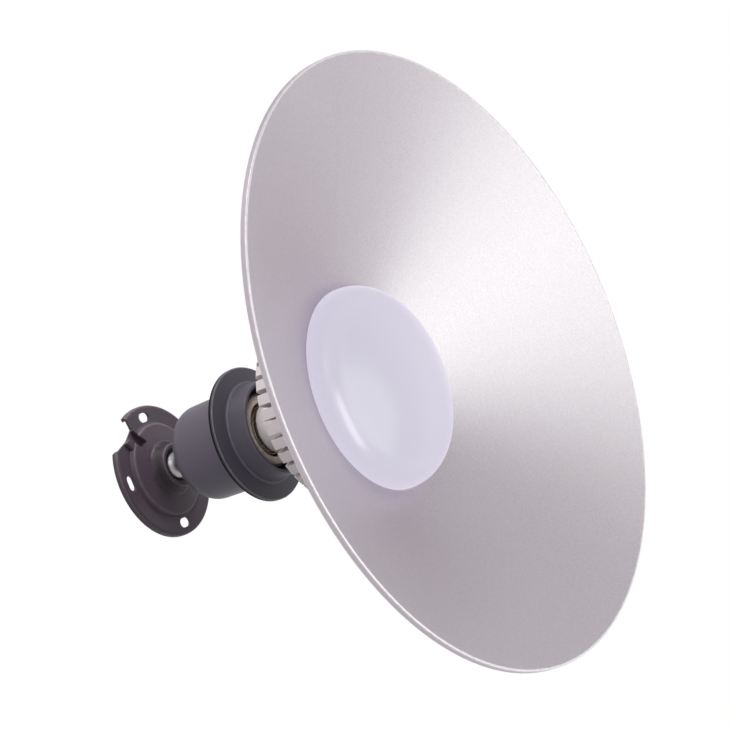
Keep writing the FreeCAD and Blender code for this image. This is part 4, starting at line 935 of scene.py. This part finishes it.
class LOWBAY_OT_stage(bpy.types.Operator):
    """Pale floor, white surroundings, soft lights and the photograph's camera"""
    bl_idname = "low_bay.stage"
    bl_label = "Stage"

    def execute(self, context):
        studio = context.scene.low_bay_studio
        right, up, back = axes = view_axes()
        self.make_surroundings(context, studio, up)
        self.make_floor(studio)
        self.make_lights(studio, axes)
        self.make_camera(context, right, up, back)
        context.scene.view_settings.view_transform = "Standard"
        return {"FINISHED"}

    def make_surroundings(self, context, studio, up):
        world = bpy.data.worlds.new("white_surroundings")
        world.use_nodes = True
        context.scene.world = world
        tree = Tree(world.node_tree)
        shader = world.node_tree.nodes["Background"]
        shader.inputs["Color"].default_value = rgba(WHITE)
        tree.feed(shader.inputs["Strength"], surrounding_level(tree, studio, up))

    def make_floor(self, studio):
        mesh = bpy.data.meshes.new("studio_floor")
        shape = bmesh.new()
        bmesh.ops.create_grid(shape, x_segments=1, y_segments=1, size=studio.floor_size / 2)
        bmesh.ops.translate(shape, verts=shape.verts, vec=(0, 0, -studio.floor_drop))
        shape.to_mesh(mesh)
        shape.free()
        floor = new_object("studio_floor", mesh)
        finish = Finish("pale_floor", PALE_FLOOR, roughness=0.7)
        finish.mottle(size=0.6, amount=0.02)
        mesh.materials.append(self.whiten(finish))

    def whiten(self, finish):
        """Shows a finish as plain white to the camera alone."""
        material = finish.done()
        seen = finish.tree.add("ShaderNodeLightPath").outputs["Is Camera Ray"]
        white = finish.tree.add("ShaderNodeEmission", {"Color": rgba(WHITE), "Strength": 1.0}).outputs[0]
        choice = finish.tree.add("ShaderNodeMixShader", {0: seen, 1: finish.shader.outputs[0], 2: white})
        output = material.node_tree.nodes["Material Output"]
        finish.tree.feed(output.inputs["Surface"], choice.outputs[0])
        return material

    def make_lights(self, studio, axes):
        aim = RIM_CENTRE + Vector((0, 0, AIM_RISE))
        disc_light("mouth_light", aim + MOUTH_PLACE, aim, MOUTH_SIZE, studio.mouth_power, MOUTH_COLOUR)
        keep_for(strip_light("strip_light", aim + STRIP_PLACE, aim, studio.strip_power), NODES["diffuser"])
        disc_light("key_light", aim + by_camera(axes, KEY_PLACE), aim, KEY_SIZE, studio.key_power)
        disc_light("top_light", aim + by_camera(axes, TOP_PLACE), aim, TOP_SIZE, studio.top_power)
        base_light = disc_light("base_light", BASE_MIDDLE + by_camera(axes, BASE_PLACE), BASE_MIDDLE, BASE_SIZE,
                                studio.base_power, BASE_COLOUR)
        keep_for(base_light, NODES["ceiling_base"])

    def make_camera(self, context, right, up, back):
        lens = bpy.data.cameras.new("photograph_camera")
        lens.sensor_width = SENSOR_WIDTH
        lens.lens = SENSOR_WIDTH * FOCAL_PIXELS / PICTURE_PIXELS
        lens.clip_end = CAMERA_REACH
        camera = new_object("photograph_camera", lens)
        place = RIM_CENTRE - right * RIM_RIGHT - up * RIM_UP + back * RIM_DISTANCE
        turn = Matrix((right, up, back)).transposed().to_4x4()
        camera.matrix_world = Matrix.Translation(place) @ turn
        context.scene.camera = camera


class LOWBAY_PT_panel(bpy.types.Panel):
    """Steps that dress and stage the light"""
    bl_idname = "LOWBAY_PT_panel"
    bl_label = "Low Bay Light"
    bl_space_type = "VIEW_3D"
    bl_region_type = "UI"
    bl_category = "Low Bay"

    def draw(self, context):
        scene = context.scene
        for step in STEPS:
            self.layout.operator(step.bl_idname)
        for holder in (scene.low_bay_colours, scene.low_bay_details, scene.low_bay_studio):
            for name in holder.__annotations__:
                self.layout.prop(holder, name)


STEPS = (LOWBAY_OT_reflector, LOWBAY_OT_diffuser, LOWBAY_OT_ceiling_base, LOWBAY_OT_ball_swivel,
         LOWBAY_OT_fasteners, LOWBAY_OT_lampholder, LOWBAY_OT_socket, LOWBAY_OT_lamp_cap, LOWBAY_OT_heat_sink,
         LOWBAY_OT_driver, LOWBAY_OT_light_source, LOWBAY_OT_stage)
CLASSES = (LowBayColours, LowBayDetails, LowBayStudio) + STEPS + (LOWBAY_PT_panel,)


def register():
    for entry in CLASSES:
        bpy.utils.register_class(entry)
    bpy.types.Scene.low_bay_colours = PointerProperty(type=LowBayColours)
    bpy.types.Scene.low_bay_details = PointerProperty(type=LowBayDetails)
    bpy.types.Scene.low_bay_studio = PointerProperty(type=LowBayStudio)


def unregister():
    del bpy.types.Scene.low_bay_studio
    del bpy.types.Scene.low_bay_details
    del bpy.types.Scene.low_bay_colours
    for entry in reversed(CLASSES):
        bpy.utils.unregister_class(entry)


def main():
    register()
    for step in STEPS:
        getattr(bpy.ops.low_bay, step.bl_idname.split(".")[1])()


if __name__ == "__main__":
    main()
